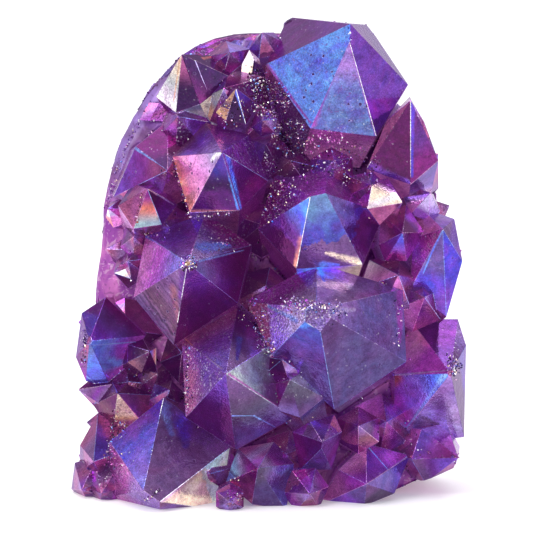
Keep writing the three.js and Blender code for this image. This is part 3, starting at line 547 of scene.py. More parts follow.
class Board:
    """A material's node tree, to which nodes are added by type, settings and values."""

    # The Mix node's sockets for colours, by number: other kinds of values have sockets of the same names.
    SHARE, FIRST, SECOND, MIXED = 0, 6, 7, 2

    def __init__(self, name: str) -> None:
        """Starts an empty material of that name.

        Args:
            name: The name.
        """
        self.material = bpy.data.materials.new(name)
        self.material.use_nodes = True
        self.tree = self.material.node_tree
        self.tree.nodes.clear()
        self.output = self.tree.nodes.new("ShaderNodeOutputMaterial")

    def node(self, kind: str, settings: dict[str, Any], values: dict[Union[str, int], Any],
             output: Union[str, int] = 0) -> Wire:
        """Adds one node.

        Args:
            kind: The node's type.
            settings: Its properties, set first.
            values: Its sockets' numbers, colours, vectors or wires.
            output: The name or number of the output that is wanted.

        Returns:
            That output.
        """
        made = self.tree.nodes.new(kind)
        for key, value in settings.items():
            setattr(made, key, value)
        for key, value in values.items():
            self.feed(made.inputs[key], value)
        return Wire(self, made.outputs[output])

    def feed(self, socket: bpy.types.NodeSocket, value: Any) -> None:
        """Gives a socket its wire, tint, colour, vector or number.

        Args:
            socket: The socket.
            value: What it gets.
        """
        if isinstance(value, Wire):
            self.tree.links.new(value.socket, socket)
            return
        plain = value.linear if isinstance(value, Tint) else value
        socket.default_value = (*plain, 1.0) if socket.type == "RGBA" else plain

    def attribute(self, name: str, output: str = "Vector") -> Wire:
        """A face's own value, by the attribute's name."""
        return self.node("ShaderNodeAttribute", {"attribute_name": name}, {}, output)

    def place(self) -> Wire:
        """The point's place in the object."""
        return self.node("ShaderNodeTexCoord", {}, {}, "Object")

    def noise(self, clouds: Clouds) -> Wire:
        """Adds cloudy noise.

        Args:
            clouds: Its size and the like.

        Returns:
            The noise, from 0 to 1.
        """
        return self.node("ShaderNodeTexNoise", {}, {
            "Vector": self.place(), "Scale": 1 / clouds.size, "Detail": clouds.detail,
            "Distortion": clouds.warp, "Roughness": clouds.rough}, "Fac")

    def cells(self, size: float, output: str = "Distance", feature: str = "F1") -> Wire:
        """Cells about `size` metres wide: the distance to the nearest heart, or each cell's own colour."""
        return self.node("ShaderNodeTexVoronoi", {"feature": feature},
                         {"Vector": self.place(), "Scale": 1 / size}, output)

    def blend(self, share: Any, first: Any, second: Any, mode: str = "MIX") -> Wire:
        """Two colours or tints mixed by a share."""
        return self.node("ShaderNodeMix", {"data_type": "RGBA", "blend_type": mode, "clamp_factor": True},
                         {self.SHARE: share, self.FIRST: first, self.SECOND: second}, self.MIXED)

    def washed(self, tint: Wire, mask: Wire, wash: Wash, share: Union[Wire, float] = 1.0) -> Wire:
        """A colour under a wash.

        Args:
            tint: The colour.
            mask: The mask that the wash follows.
            wash: The wash.
            share: By how much the wash is weakened.

        Returns:
            The colour.
        """
        strength = mask.between(wash.start, wash.end) * (share * wash.strength)
        return self.blend(strength, tint, wash.tint, wash.mode)

    def vectors(self, operation: str, first: Any, second: Any, output: str = "Vector") -> Wire:
        """A Vector Math node over two vectors."""
        return self.node("ShaderNodeVectorMath", {"operation": operation}, {0: first, 1: second}, output)

    def scaled(self, vector: Wire, factor: Any) -> Wire:
        """A vector or colour times a factor."""
        return self.node("ShaderNodeVectorMath", {"operation": "SCALE"}, {0: vector, "Scale": factor})

    def parts(self, vector: Wire) -> tuple[Wire, Wire, Wire]:
        """The three parts of a vector or colour."""
        split = self.node("ShaderNodeSeparateXYZ", {}, {"Vector": vector}).socket.node
        return tuple(Wire(self, socket) for socket in split.outputs)

    def bump(self, height: Wire, depth: float, strength: float = 1.0) -> Wire:
        """Normals from a height from 0 to 1 that stands for `depth` metres."""
        return self.node("ShaderNodeBump", {}, {"Height": height, "Distance": depth, "Strength": strength})

    def surface(self, looks: dict[str, Any]) -> bpy.types.Material:
        """Ends the material with a shader of those looks.

        Args:
            looks: The shader's sockets and what each gets.

        Returns:
            The material.
        """
        shader = self.node("ShaderNodeBsdfPrincipled", {}, looks, "BSDF")
        self.tree.links.new(shader.socket, self.output.inputs["Surface"])
        return self.material


@dataclass(frozen=True)
class AuraFilm:
    """The metal film on the crystals' faces, coloured by each face's course, which holds painted
    reflections, highlights and shade, over clear violet stone, with a painted glow.
    """

    name: str = "aura_film"
    # The shader.
    roughness: float = 0.11
    rougher: float = 0.14
    metal: float = 0.76
    see_through: float = 0.7
    stone_index: float = QUARTZ_INDEX
    edge_tint: Colour = (0.86, 0.78, 0.97)
    film_nanometres: float = 380.0
    film_index: float = 1.66
    # Painted glow: every face gives off a magenta light of its own, standing in for light that passes
    # through the stone.
    glow: float = 0.5
    painted_inner_glow: float = 0.34
    # The borders between a face's three tints.
    first_border: Point = (0.02, 0.55)
    second_border: float = 0.68
    soft_half: float = 0.26
    sharp_half: float = 0.008
    border_clouds: Clouds = Clouds(0.004, 5.0, 1.2, 0.62)
    wander_clouds: Clouds = Clouds(0.009, 3.0, 0.5)
    sway: float = 0.3
    jag_sway: float = 0.5
    jag_tear: float = 0.6
    # The strokes.
    streak_clouds: Clouds = Clouds(0.0012, 3.0, 0.5)
    stroke_sway: float = 0.6
    stroke_tear: float = 0.7
    stroke_edge: float = 0.85
    stroke_taper: float = 0.6
    stroke_strength: float = 0.92
    least_line: float = 1e-10
    # Slow changes of brightness and hue.
    smoke_clouds: Clouds = Clouds(0.006, 4.0, 0.9)
    smoky: Wash = Wash((0.6, 0.4, 0.58), 0.46, 0.68, 0.6, "MULTIPLY")
    clear: Wash = Wash((1.5, 1.7, 1.35), 0.46, 0.3, 0.5, "MULTIPLY")
    play_clouds: Clouds = Clouds(0.0075, 3.0, 1.4)
    play_of_hue: float = 0.13
    saturation: float = 0.97
    # Grain and growth lines.
    grain_clouds: Clouds = Clouds(0.00045, 3.0, 0.3, 0.7)
    grain_gain: float = 1.3
    sparkle_gain: float = 2.6
    broad_clouds: Clouds = Clouds(0.002, 3.0, 0.6)
    cloud_gain: float = 1.1
    growth_lines: float = 22.0
    growth_bend: float = 2.5
    growth_gain: float = 2.6
    least_gain: float = 0.1
    # Painted glints: each cell draws a lot from 0 to 1, and those within these ranges are painted as bright
    # points; dark points among them are painted dark sparkle.
    glitter_size: float = 0.00036
    glitter_lots: Point = (0.82, 0.97)
    glitter_gain: float = 0.8
    glint_lots: Point = (0.99, 0.997)
    pale_lots: Point = (0.3, 0.6)
    glitter_strength: float = 0.8
    painted_dark_sparkle: Wash = Wash(T.DEEP, 0.7, 0.95, 0.55)
    # Flecks, and pits with painted shade in them and a painted highlight round their brims.
    fleck_clouds: Clouds = Clouds(0.0011, 4.0, 1.5, 0.7)
    flecks: Wash = Wash(T.MAGENTA, 0.58, 0.64, 0.75)
    least_flecks: float = 0.12
    more_flecks: float = 0.8
    pit_size: float = 0.0023
    pit_clouds: Clouds = Clouds(0.0009, 2.0)
    pit_fray: float = 0.12
    pit_luck: float = 0.62
    pit_lots: Point = (0.97, 0.99)
    pitted_from: Point = (0.05, 0.15)
    pit_edge: Point = (0.2, 0.23)
    brim_edge: Point = (0.24, 0.27)
    brim_highlight_strength: float = 0.45
    pit_shade_strength: float = 0.85
    # The relief.
    swell_clouds: Clouds = Clouds(0.0026, 3.0)
    swell_height: float = 0.35
    fine_clouds: Clouds = Clouds(0.0006, 3.0)
    least_fine: float = 0.1
    more_fine: float = 0.5
    pit_depth: float = 0.8
    relief: float = 0.00035
    bump_strength: float = 0.7

    def course(self, board: Board, along: Wire, jag: Wire, wander: Wire) -> Wire:
        """The colour along each face: a soft border, then one that is ragged where the face asks for it.

        Args:
            board: The material's board.
            along: How far along the face's course a point lies, from 0 to 1.
            jag: How sharp and ragged the second border is, from 0 to 1.
            wander: Slow noise around 0.

        Returns:
            The colour.
        """
        ragged = board.noise(self.border_clouds) - 0.5
        first = (along + wander * self.sway).between(*self.first_border)
        edge = along + wander * (self.sway + self.jag_sway * jag) + ragged * jag * self.jag_tear
        half = self.soft_half * (1 - jag) * (1 - jag) + self.sharp_half
        last = edge.between(self.second_border - half, self.second_border + half)
        near, middle, far = (board.attribute(name, "Color") for name in FacePaint.LAYERS)
        return board.blend(last, board.blend(first, near, middle), far)

    def streaked(self, board: Board, tint: Wire, number: int, wander: Wire) -> Wire:
        """The colour with one of the face's strokes over it.

        Args:
            board: The material's board.
            tint: The colour so far.
            number: Which stroke.
            wander: Slow noise around 0.

        Returns:
            The colour.
        """
        name = f"stroke{number}"
        away = board.vectors("SUBTRACT", board.place(), board.attribute(f"{name}_place"))
        line = board.attribute(f"{name}_line")
        length = board.vectors("DOT_PRODUCT", line, line, "Value").most(self.least_line)
        run = (board.vectors("DOT_PRODUCT", away, line, "Value") / length).clamped()
        aside = board.vectors("SUBTRACT", away, board.scaled(line, run))
        gap = board.vectors("LENGTH", aside, (0, 0, 0), "Value")
        ragged = board.noise(self.streak_clouds) - 0.5
        spread = gap * board.attribute(f"{name}_reach", "Fac") / (1 - run * self.stroke_taper)
        share = 1 - spread + wander * self.stroke_sway + ragged * self.stroke_tear
        streak = share.between(0.0, self.stroke_edge) * self.stroke_strength
        return board.blend(streak, tint, board.attribute(f"{name}_tint", "Color"))

    def etched(self, board: Board, tint: Wire, along: Wire, sparkle: Wire, lines: Wire) -> Wire:
        """The colour with the fine grain and growth lines of the face, its painted glints and its painted
        dark sparkle points.

        Args:
            board: The material's board.
            tint: The colour so far.
            along: How far along the face's course a point lies.
            sparkle: How much the face glitters.
            lines: How strong its growth lines are.

        Returns:
            The colour.
        """
        smoke = board.noise(self.smoke_clouds)
        tint = board.washed(tint, smoke, self.smoky)
        tint = board.washed(tint, smoke, self.clear)
        play = board.noise(self.play_clouds) - 0.5
        tint = board.node("ShaderNodeHueSaturation", {}, {
            "Hue": 0.5 + play * self.play_of_hue, "Saturation": self.saturation, "Value": 1.0,
            "Color": tint})
        grain = board.noise(self.grain_clouds) - 0.5
        cloud = board.noise(self.broad_clouds) - 0.5
        growth = board.node("ShaderNodeTexNoise", {"noise_dimensions": "1D"}, {
            "W": along * self.growth_lines + cloud * self.growth_bend, "Scale": 1.0,
            "Detail": 3.0}, "Fac") - 0.5
        grainy = grain * (self.grain_gain + self.sparkle_gain * sparkle)
        gain = 1 + grainy + cloud * self.cloud_gain + growth * lines * self.growth_gain
        tint = board.scaled(tint, gain.most(self.least_gain))
        # Painted glints and painted dark sparkle: bright and dark cells laid into the colour.
        lot, other, _ = board.parts(board.cells(self.glitter_size, "Color"))
        keen = sparkle * sparkle
        tint = board.washed(tint, lot, self.painted_dark_sparkle, keen)
        glitter = other.between(*self.glitter_lots) * keen * self.glitter_gain
        shine = glitter + other.between(*self.glint_lots) * sparkle
        points = board.blend(lot.between(*self.pale_lots), T.HAZE, T.WHITE)
        return board.blend(shine.clamped() * self.glitter_strength, tint, points)

    def pitted(self, board: Board, tint: Wire, pits: Wire) -> tuple[Wire, Wire]:
        """The colour with magenta flecks, and pits with painted shade in them and a painted highlight round
        their brims.

        Args:
            board: The material's board.
            tint: The colour so far.
            pits: How pitted the face is.

        Returns:
            The colour, and how deep the pits are.
        """
        flecks = board.noise(self.fleck_clouds)
        tint = board.washed(tint, flecks, self.flecks, self.least_flecks + self.more_flecks * pits)
        lot, _, _ = board.parts(board.cells(self.pit_size, "Color"))
        hole = board.cells(self.pit_size) + board.noise(self.pit_clouds) * self.pit_fray
        lucky = (lot + pits * self.pit_luck).between(*self.pit_lots) * pits.between(*self.pitted_from)
        pit = ((1 - hole.between(*self.pit_edge)) * lucky).clamped()
        brim_highlight = ((1 - hole.between(*self.brim_edge)) * lucky - pit).clamped()
        # The brims get a painted highlight and the pits painted shade.
        tint = board.blend(brim_highlight * self.brim_highlight_strength, tint, T.HAZE)
        return board.blend(pit * self.pit_shade_strength, tint, T.DEEP), pit

    def material(self) -> bpy.types.Material:
        """Builds the material.

        Returns:
            The material.
        """
        board = Board(self.name)
        jag, sparkle, pits = board.parts(board.attribute("facet_traits", "Color"))
        lines = board.attribute("facet_lines", "Fac")
        away = board.vectors("SUBTRACT", board.place(), board.attribute("facet_start"))
        along = board.vectors("DOT_PRODUCT", away, board.attribute("facet_course"), "Value")
        wander = board.noise(self.wander_clouds) - 0.5
        tint = self.course(board, along, jag, wander)
        for number in range(FacePaint.STROKES):
            tint = self.streaked(board, tint, number, wander)
        tint = self.etched(board, tint, along, sparkle, lines)
        tint, pit = self.pitted(board, tint, pits)
        fine = board.noise(self.fine_clouds)
        height = board.noise(self.swell_clouds) * self.swell_height - pit * self.pit_depth
        height = height + fine * (self.least_fine + self.more_fine * sparkle)
        # Painted glow and painted highlight: the magenta light from within and each face's shine, given off
        # as emission.
        shine = board.attribute("facet_shine", "Fac")
        painted_glow_colour = board.vectors("ADD", board.scaled(board.blend(0.5, tint, T.ORCHID), self.painted_inner_glow),
                              board.scaled(tint, shine))
        return board.surface({
            "Base Color": tint, "Roughness": self.roughness + sparkle * self.rougher, "Metallic": self.metal,
            "IOR": self.stone_index, "Specular Tint": self.edge_tint,
            "Transmission Weight": self.see_through,
            "Thin Film Thickness": self.film_nanometres, "Thin Film IOR": self.film_index,
            "Emission Color": painted_glow_colour, "Emission Strength": self.glow,
            "Normal": board.bump(height, self.relief, self.bump_strength)})


@dataclass(frozen=True)
class SkinFinish:
    """The geode's outer skin: rough dark stone, crusty and dusty, under a thinner film, with a painted sheen
    and painted shade between its lumps.
    """

    name: str = "geode_skin"
    broad_clouds: Clouds = Clouds(0.016, 5.0, 0.8)
    sheen_clouds: Clouds = Clouds(0.011, 3.0, 1.2)
    crust_size: float = 0.0046
    vein_clouds: Clouds = Clouds(0.0026, 5.0, 1.8, 0.65)
    dust_clouds: Clouds = Clouds(0.006, 4.0, 1.0)
    grain_size: float = 0.0009
    broad_band: Point = (0.38, 0.6)
    dust_band: Point = (0.45, 0.62)
    crust_height: float = 0.8
    vein_height: float = 0.4
    grain_height: float = 0.3
    relief: float = 0.0014
    # Painted sheen of the film in warm and cool patches, and painted shade in the hollows between the
    # crust's lumps; the veins and dust are the stone's own.
    painted_warm_sheen: Wash = Wash(T.ORCHID, 0.52, 0.66, 0.7)
    painted_cool_sheen: Wash = Wash(T.SLATE, 0.46, 0.34, 0.7)
    painted_hollow_shade: Wash = Wash(T.DEEP, 0.45, 0.75, 0.8)
    veins: Wash = Wash(T.PLUM, 0.54, 0.66, 0.6)
    dust: Wash = Wash(T.HAZE, 0.34, 0.1, 0.6)

    def material(self) -> bpy.types.Material:
        """Builds the material.

        Returns:
            The material.
        """
        board = Board(self.name)
        cloud = board.noise(self.broad_clouds)
        tint = board.blend(cloud.between(*self.broad_band), T.DUSK, T.MAUVE)
        sheen = board.noise(self.sheen_clouds)
        tint = board.washed(tint, sheen, self.painted_warm_sheen)
        tint = board.washed(tint, sheen, self.painted_cool_sheen)
        crust = board.cells(self.crust_size, "Distance", "SMOOTH_F1")
        tint = board.washed(tint, crust, self.painted_hollow_shade)
        veins = board.noise(self.vein_clouds)
        tint = board.washed(tint, veins, self.veins)
        grain = board.cells(self.grain_size)
        dusty = board.noise(self.dust_clouds).between(*self.dust_band)
        tint = board.washed(tint, grain, self.dust, dusty)
        height = (1 - crust) * self.crust_height + veins * self.vein_height + (1 - grain) * self.grain_height
        return board.surface({
            "Base Color": tint, "Roughness": 0.3 + 0.25 * veins, "Metallic": 0.45, "IOR": QUARTZ_INDEX,
            "Normal": board.bump(height, self.relief)})


@dataclass(frozen=True)
class RimFinish:
    """The clear lilac rim of the wall from which the crystals grow."""

    name: str = "matrix_rim"
    lean: float = WALL_LEAN
    band: float = 0.0018
    glassy_heights: Point = (0.09, 0.074)
    broad_clouds: Clouds = Clouds(0.008, 4.0, 0.8)
    veil_clouds: Clouds = Clouds(0.0022, 4.0, 2.0)
    stain_clouds: Clouds = Clouds(0.0016, 3.0, 1.0)
    fine_clouds: Clouds = Clouds(0.0012, 3.0)
    dent_size: float = 0.006
    band_ease: float = 1.25
    glassy_sway: float = 0.016
    crest_sway: float = 0.006
    pale_band: Point = (0.35, 0.65)
    inner_band: Point = (0.4, 0.6)
    fine_height: float = 0.3
    dent_height: float = 1.2
    dull_height: float = 0.25
    relief: float = 0.0007
    crest: Wash = Wash(T.PURPLE, 0.105, 0.109)
    veil: Wash = Wash(T.BLUSH, 0.58, 0.62, 0.5)
    stain: Wash = Wash(T.PLUM, 0.6, 0.7, 0.5)

    def material(self) -> bpy.types.Material:
        """Builds the material.

        Returns:
            The material.
        """
        board = Board(self.name)
        cloud = board.noise(self.broad_clouds)
        _, y, z = board.parts(board.place())
        depth = y - z * self.lean
        edge = (depth * depth).between((self.band * self.band_ease) ** 2, self.band ** 2)
        glassy = (z + cloud * self.glassy_sway).between(*self.glassy_heights)
        wide, narrow = cloud.between(*self.pale_band), cloud.between(*self.inner_band)
        pale, inside = (board.blend(glassy, board.blend(share, *high), board.blend(share, T.ORCHID, T.PINK))
                        for share, high in ((wide, (T.MAUVE, T.LILAC)), (narrow, (T.PLUM, T.PURPLE))))
        tint = board.blend(edge, inside, pale)
        tint = board.washed(tint, z + cloud * self.crest_sway, self.crest)
        tint = board.washed(tint, board.noise(self.veil_clouds), self.veil, glassy)
        tint = board.washed(tint, board.noise(self.stain_clouds), self.stain)
        fine = board.noise(self.fine_clouds) * self.fine_height
        height = cloud + fine + board.cells(self.dent_size) * self.dent_height
        height = height * (self.dull_height + (1 - self.dull_height) * glassy)
        return board.surface({
            "Base Color": tint, "Roughness": 0.4, "Metallic": 0.25, "IOR": QUARTZ_INDEX,
            "Transmission Weight": 0.2, "Normal": board.bump(height, self.relief, 0.8)})


@dataclass(frozen=True)
class SawnFinish:
    """The flat cut below: sawn stone with faint parallel marks."""

    name: str = "sawn_base"
    broad_clouds: Clouds = Clouds(0.012, 4.0, 0.8)
    broad_band: Point = (0.35, 0.7)
    marks_scale: float = 420.0
    marks_bend: float = 1.5
    marks_strength: float = 0.2
    relief: float = 0.00008

    def material(self) -> bpy.types.Material:
        """Builds the material.

        Returns:
            The material.
        """
        board = Board(self.name)
        cloud = board.noise(self.broad_clouds)
        tint = board.blend(cloud.between(*self.broad_band), T.PURPLE, T.LILAC)
        marks = board.node("ShaderNodeTexWave", {"bands_direction": "X"}, {
            "Vector": board.place(), "Scale": self.marks_scale, "Distortion": self.marks_bend}, "Fac")
        return board.surface({
            "Base Color": board.blend(marks * self.marks_strength, tint, T.DEEP), "Roughness": 0.5,
            "IOR": QUARTZ_INDEX, "Normal": board.bump(marks, self.relief, 0.5)})


@dataclass(frozen=True)
class DruseFinish:
    """The crust of very small crystals: painted glints, crystals coloured white and pale, among dark violet
    ones.
    """

    name: str = "druse_film"

    def material(self) -> bpy.types.Material:
        """Builds the material.

        Returns:
            The material.
        """
        board = Board(self.name)
        return board.surface({
            "Base Color": board.attribute("druse_tint_and_glint", "Color"), "Roughness": 0.12, "Metallic": 0.7,
            "IOR": QUARTZ_INDEX, "Coat Weight": 0.4, "Coat Roughness": 0.05})


@dataclass(frozen=True)
class PaperFinish:
    """The pale floor, of paper lit a little from below."""

    name: str = "pale_floor"
    broad_clouds: Clouds = Clouds(0.3, 2.0)
    darker: Colour = (0.84, 0.84, 0.84)
    paler: Colour = (0.88, 0.88, 0.88)
    glow: float = 0.22

    def material(self) -> bpy.types.Material:
        """Builds the material.

        Returns:
            The material.
        """
        board = Board(self.name)
        tint = board.blend(board.noise(self.broad_clouds), self.darker, self.paler)
        return board.surface({
            "Base Color": tint, "Roughness": 0.8, "Emission Color": tint, "Emission Strength": self.glow})


def select_only(piece: bpy.types.Object) -> None:
    """Makes one object the active and only selected one.

    Args:
        piece: The object.
    """
    bpy.ops.object.select_all(action="DESELECT")
    piece.select_set(True)
    bpy.context.view_layer.objects.active = piece


def pick(piece: bpy.types.Object, kind: str, chosen: list[bool]) -> None:
    """Selects vertices, edges or faces of a piece for the next edit.

    Args:
        piece: The piece.
        kind: VERT, EDGE or FACE.
        chosen: Which of them.
    """
    select_only(piece)
    mesh = piece.data
    for part in (mesh.vertices, mesh.edges, mesh.polygons):
        part.foreach_set("select", [False] * len(part))
    {"VERT": mesh.vertices, "EDGE": mesh.edges, "FACE": mesh.polygons}[kind].foreach_set("select", chosen)
    bpy.ops.object.mode_set(mode="EDIT")
    bpy.ops.mesh.select_mode(type=kind)


def edit_all(piece: bpy.types.Object, operator: Callable[..., Any], **settings: float) -> None:
    """Runs one edit on everything in a piece.

    Args:
        piece: The piece.
        operator: The operator from bpy.ops.mesh.
        settings: The operator's settings.
    """
    select_only(piece)
    bpy.ops.object.mode_set(mode="EDIT")
    bpy.ops.mesh.select_all(action="SELECT")
    operator(**settings)
    bpy.ops.object.mode_set(mode="OBJECT")


def placed(name: str, data: Any) -> bpy.types.Object:
    """A new object of a mesh, light or camera, in the scene.

    Args:
        name: Its name.
        data: The mesh, light or camera.

    Returns:
        The object.
    """
    made = bpy.data.objects.new(name, data)
    bpy.context.scene.collection.objects.link(made)
    return made


def settle(piece: bpy.types.Object) -> None:
    """Has a finished piece ride on the body."""
    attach(piece, BODY)


def face_tree(mesh: bpy.types.Mesh) -> BVHTree:
    """The faces of a mesh, for looking up what a ray hits and what lies nearest."""
    return BVHTree.FromPolygons([v.co for v in mesh.vertices], [tuple(f.vertices) for f in mesh.polygons])


def faces_by_edge(mesh: bpy.types.Mesh) -> dict[tuple[int, int], list[int]]:
    """The faces on both sides of each edge, by the edge's two vertices.

    Args:
        mesh: The mesh.

    Returns:
        The numbers of the faces, by the two vertices' numbers in rising order.
    """
    sides: dict[tuple[int, int], list[int]] = {}
    for face in mesh.polygons:
        for key in face.edge_keys:
            sides.setdefault(tuple(sorted(key)), []).append(face.index)
    return sides


@dataclass
class Wall:
    """Tells the round surfaces apart from the crystals: the geode's skin and the wall within it."""

    shift: Triple = (0.317, 0.685, 0.0)
    skin_centre: Triple = (0.0, -38.0, 42.0)
    skin_radii: Triple = (76.0, 70.0, 135.0)
    profile: tuple[Point, ...] = (
        (42, -4), (43, 12), (43.5, 40), (44, 50), (42.5, 60), (42, 70), (40, 79),
        (37.5, 86), (33, 94), (28, 101), (22, 107), (13, 111), (5, 112))
    front: float = 0.2
    lean: float = WALL_LEAN
    give: float = 0.03

    def on_skin(self, point: Vector) -> bool:
        """Tells the geode's skin from everything else.

        Args:
            point: A place on the crystals, in metres.

        Returns:
            Whether it lies on the skin.
        """
        away = [point[k] / MM - self.shift[k] - self.skin_centre[k] for k in range(3)]
        local = [part / radius for part, radius in zip(away, self.skin_radii)]
        return abs(math.hypot(*local) - 1) < self.give

    def on_wall(self, point: Vector) -> bool:
        """Whether a point lies on the wall of matrix, whose front is flatter than its back.

        Args:
            point: The point, in metres.

        Returns:
            True on the wall.
        """
        x, y, z = (point[k] / MM - self.shift[k] for k in range(3))
        radii, heights = zip(*self.profile)
        depth = y - self.lean * z
        reach = math.hypot(x, depth / self.front if depth < 0 else depth)
        return abs(reach / float(np.interp(z, heights, radii)) - 1) < self.give


class Surface(IntEnum):
    """What a face of the crystals is, by its material slot."""

    FILM = 0
    RIDGE = 1
    SKIN = 2
    RIM = 3
    SAWN = 4


@dataclass
class Crystals:
    """The fused crystals, skin and cut base: a merged copy of the solid, its ridges rounded by a hair."""

    sheet: Sheet
    wall: Wall
    merge: float = 0.00001
    flat: float = math.radians(0.6)
    ridge_width: float = 0.00009
    ridge_turn: float = math.radians(22)
    least_ridge: float = 0.0009
    cut_height: float = 0.0004
    cut_level: float = 0.99
    least_back: float = 0.6
    rind_cuts: int = 5
    rind_relief: float = 0.001
    rind_ease: float = 0.5
    rind_rounds: int = 6
    rim_give: float = 0.3
    calm_height: float = 0.006
    outer_reach: float = 0.033
    lit_rise: float = 0.15
    lit_side: float = -0.5
    tip_side: float = 0.6
    tip_rise: float = 0.2
    piece_reach: float = 0.004
    piece_turn: float = 0.99999
    seed: int = 11

    RIND = (Surface.SKIN, Surface.RIM)
    RELIEFS = (("lumps", "CLOUDS", 0.013, 1.0, 1.5), ("knobs", "VORONOI", 0.006, 0.0, -1.1),
               ("crust", "CLOUDS", 0.0028, 1.0, 0.5))
    JAGS = (0.0, 0.2, 0.7)
    SPARKLES = (0.1, 0.45)
    PITS = (0.0, 0.0, 0.6)
    # Painted highlights on the ridges: how much of a pale tint each strip takes, and which tint.
    RIDGE_HIGHLIGHT_SHARES = (0.0, 0.0, 0.1, 0.2, 0.5)
    RIDGE_HIGHLIGHTS = (Tint.BLUSH, Tint.SKY, Tint.SKY)

    def build(self) -> bpy.types.Object:
        """Copies, merges, roughens, rounds and colours the solid.

        Returns:
            The finished piece.
        """
        piece = self.copy_of_solid()
        edit_all(piece, bpy.ops.mesh.dissolve_limited, angle_limit=self.flat)
        self.name_surfaces(piece)
        self.roughen_rind(piece)
        self.round_ridges(piece)
        self.colour(piece)
        self.dress(piece)
        settle(piece)
        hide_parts(NODE)
        LOG.info("crystals: %d faces", len(piece.data.polygons))
        return piece

    def copy_of_solid(self) -> bpy.types.Object:
        """A copy of the solid as its own object, its loose triangles merged.

        Returns:
            The copy.
        """
        piece = placed("aura_crystals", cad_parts[NODE].data.copy())
        piece.data.materials.clear()
        for _ in Surface:
            piece.data.materials.append(None)
        edit_all(piece, bpy.ops.mesh.remove_doubles, threshold=self.merge)
        return piece

    def name_surfaces(self, piece: bpy.types.Object) -> None:
        """Marks each face as film, skin, rim or saw cut by its material slot.

        Args:
            piece: The crystals.
        """
        mesh = piece.data
        tree = face_tree(mesh)
        named = {tree.ray_cast(*self.sheet.ray(facet.middle))[2] for facet in FACETS}
        low = CAD_BOX[0].z + self.cut_height
        for face in mesh.polygons:
            points = [mesh.vertices[i].co for i in face.vertices]
            face.material_index = Surface.FILM
            if face.normal.z < -self.cut_level and face.center.z < low:
                face.material_index = Surface.SAWN
            elif all(self.wall.on_skin(p) for p in points) and face.normal.y > self.least_back:
                face.material_index = Surface.SKIN
            elif face.index not in named and all(self.wall.on_wall(p) for p in points):
                face.material_index = Surface.RIM

    def rind_group(self, piece: bpy.types.Object) -> bpy.types.VertexGroup:
        """How far each vertex may move: the skin's freely, the rim's a little, others not at all.

        Args:
            piece: The crystals.

        Returns:
            The group that holds it.
        """
        mesh = piece.data
        give = [min(vertex.co.z / self.calm_height, 1.0) for vertex in mesh.vertices]
        for face in mesh.polygons:
            if face.material_index != Surface.SKIN:
                for i in face.vertices:
                    give[i] = min(give[i], self.rim_give if face.material_index == Surface.RIM else 0.0)
        group = piece.vertex_groups.new(name="rind")
        for i, share in enumerate(give):
            group.add([i], max(share, 0.0), "REPLACE")
        return group

    def roughen_rind(self, piece: bpy.types.Object) -> None:
        """Divides the skin and the rim finely, eases their facets and sinks slow lumps into them.

        Args:
            piece: The crystals.
        """
        pick(piece, "FACE", [face.material_index in self.RIND for face in piece.data.polygons])
        bpy.ops.mesh.quads_convert_to_tris()
        bpy.ops.mesh.subdivide(number_cuts=self.rind_cuts)
        bpy.ops.object.mode_set(mode="OBJECT")
        group = self.rind_group(piece)
        ease = piece.modifiers.new("ease", "SMOOTH")
        ease.factor = self.rind_ease
        ease.iterations = self.rind_rounds
        ease.vertex_group = group.name
        for name, kind, size, level, depth in self.RELIEFS:
            texture = bpy.data.textures.new(name, kind)
            texture.noise_scale = size
            push = piece.modifiers.new(name, "DISPLACE")
            push.texture = texture
            push.vertex_group = group.name
            push.mid_level = level
            push.strength = self.rind_relief * depth
        select_only(piece)
        for modifier in list(piece.modifiers):
            bpy.ops.object.modifier_apply(modifier=modifier.name)
        for face in piece.data.polygons:
            face.use_smooth = face.material_index in self.RIND

    def is_ridge(self, mesh: bpy.types.Mesh, edge: bpy.types.MeshEdge, sides: list[int]) -> bool:
        """Whether two crystal faces meet along an edge in an outward ridge worth rounding.

        Args:
            mesh: The crystals' mesh.
            edge: The edge.
            sides: The faces that meet along it.

        Returns:
            True for such a ridge.
        """
        if len(sides) != 2 or any(mesh.polygons[i].material_index != Surface.FILM for i in sides):
            return False
        first, second = (mesh.polygons[i] for i in sides)
        start, end = (mesh.vertices[i].co for i in edge.vertices)
        outward = (second.center - first.center).dot(first.normal) < 0
        turned = first.normal.angle(second.normal, 0.0) > self.ridge_turn
        return outward and turned and (end - start).length > self.least_ridge

    def round_ridges(self, piece: bpy.types.Object) -> None:
        """Bevels the outward ridges by a hair.

        Args:
            piece: The crystals.
        """
        mesh = piece.data
        sides = faces_by_edge(mesh)
        pick(piece, "EDGE", [self.is_ridge(mesh, edge, sides.get(tuple(sorted(edge.vertices)), []))
                             for edge in mesh.edges])
        bpy.ops.mesh.bevel(offset=self.ridge_width, segments=1, affect="EDGES", clamp_overlap=False,
                           material=Surface.RIDGE)
        bpy.ops.object.mode_set(mode="OBJECT")

    def dress(self, piece: bpy.types.Object) -> None:
        """Gives each named surface its material.

        Args:
            piece: The crystals.
        """
        film = AuraFilm().material()
        finishes = (film, film, SkinFinish().material(), RimFinish().material(), SawnFinish().material())
        for slot, material in enumerate(finishes):
            piece.data.materials[slot] = material

    def colour(self, piece: bpy.types.Object) -> None:
        """Writes each face's colour course, traits and strokes as attributes.

        Args:
            piece: The crystals.
        """
        mesh = piece.data
        paint = FacePaint(len(mesh.polygons))
        draw = random.Random(self.seed)
        for face in mesh.polygons:
            self.paint_by_rule(mesh, face, draw, paint)
        tree = face_tree(mesh)
        normals, centres = (np.empty((len(mesh.polygons), 3)) for _ in range(2))
        mesh.polygons.foreach_get("normal", normals.ravel())
        mesh.polygons.foreach_get("center", centres.ravel())
        for facet in FACETS:
            self.paint_facet(tree, normals, centres, facet, paint)
        self.paint_ridges(mesh, draw, paint)
        paint.store(mesh)

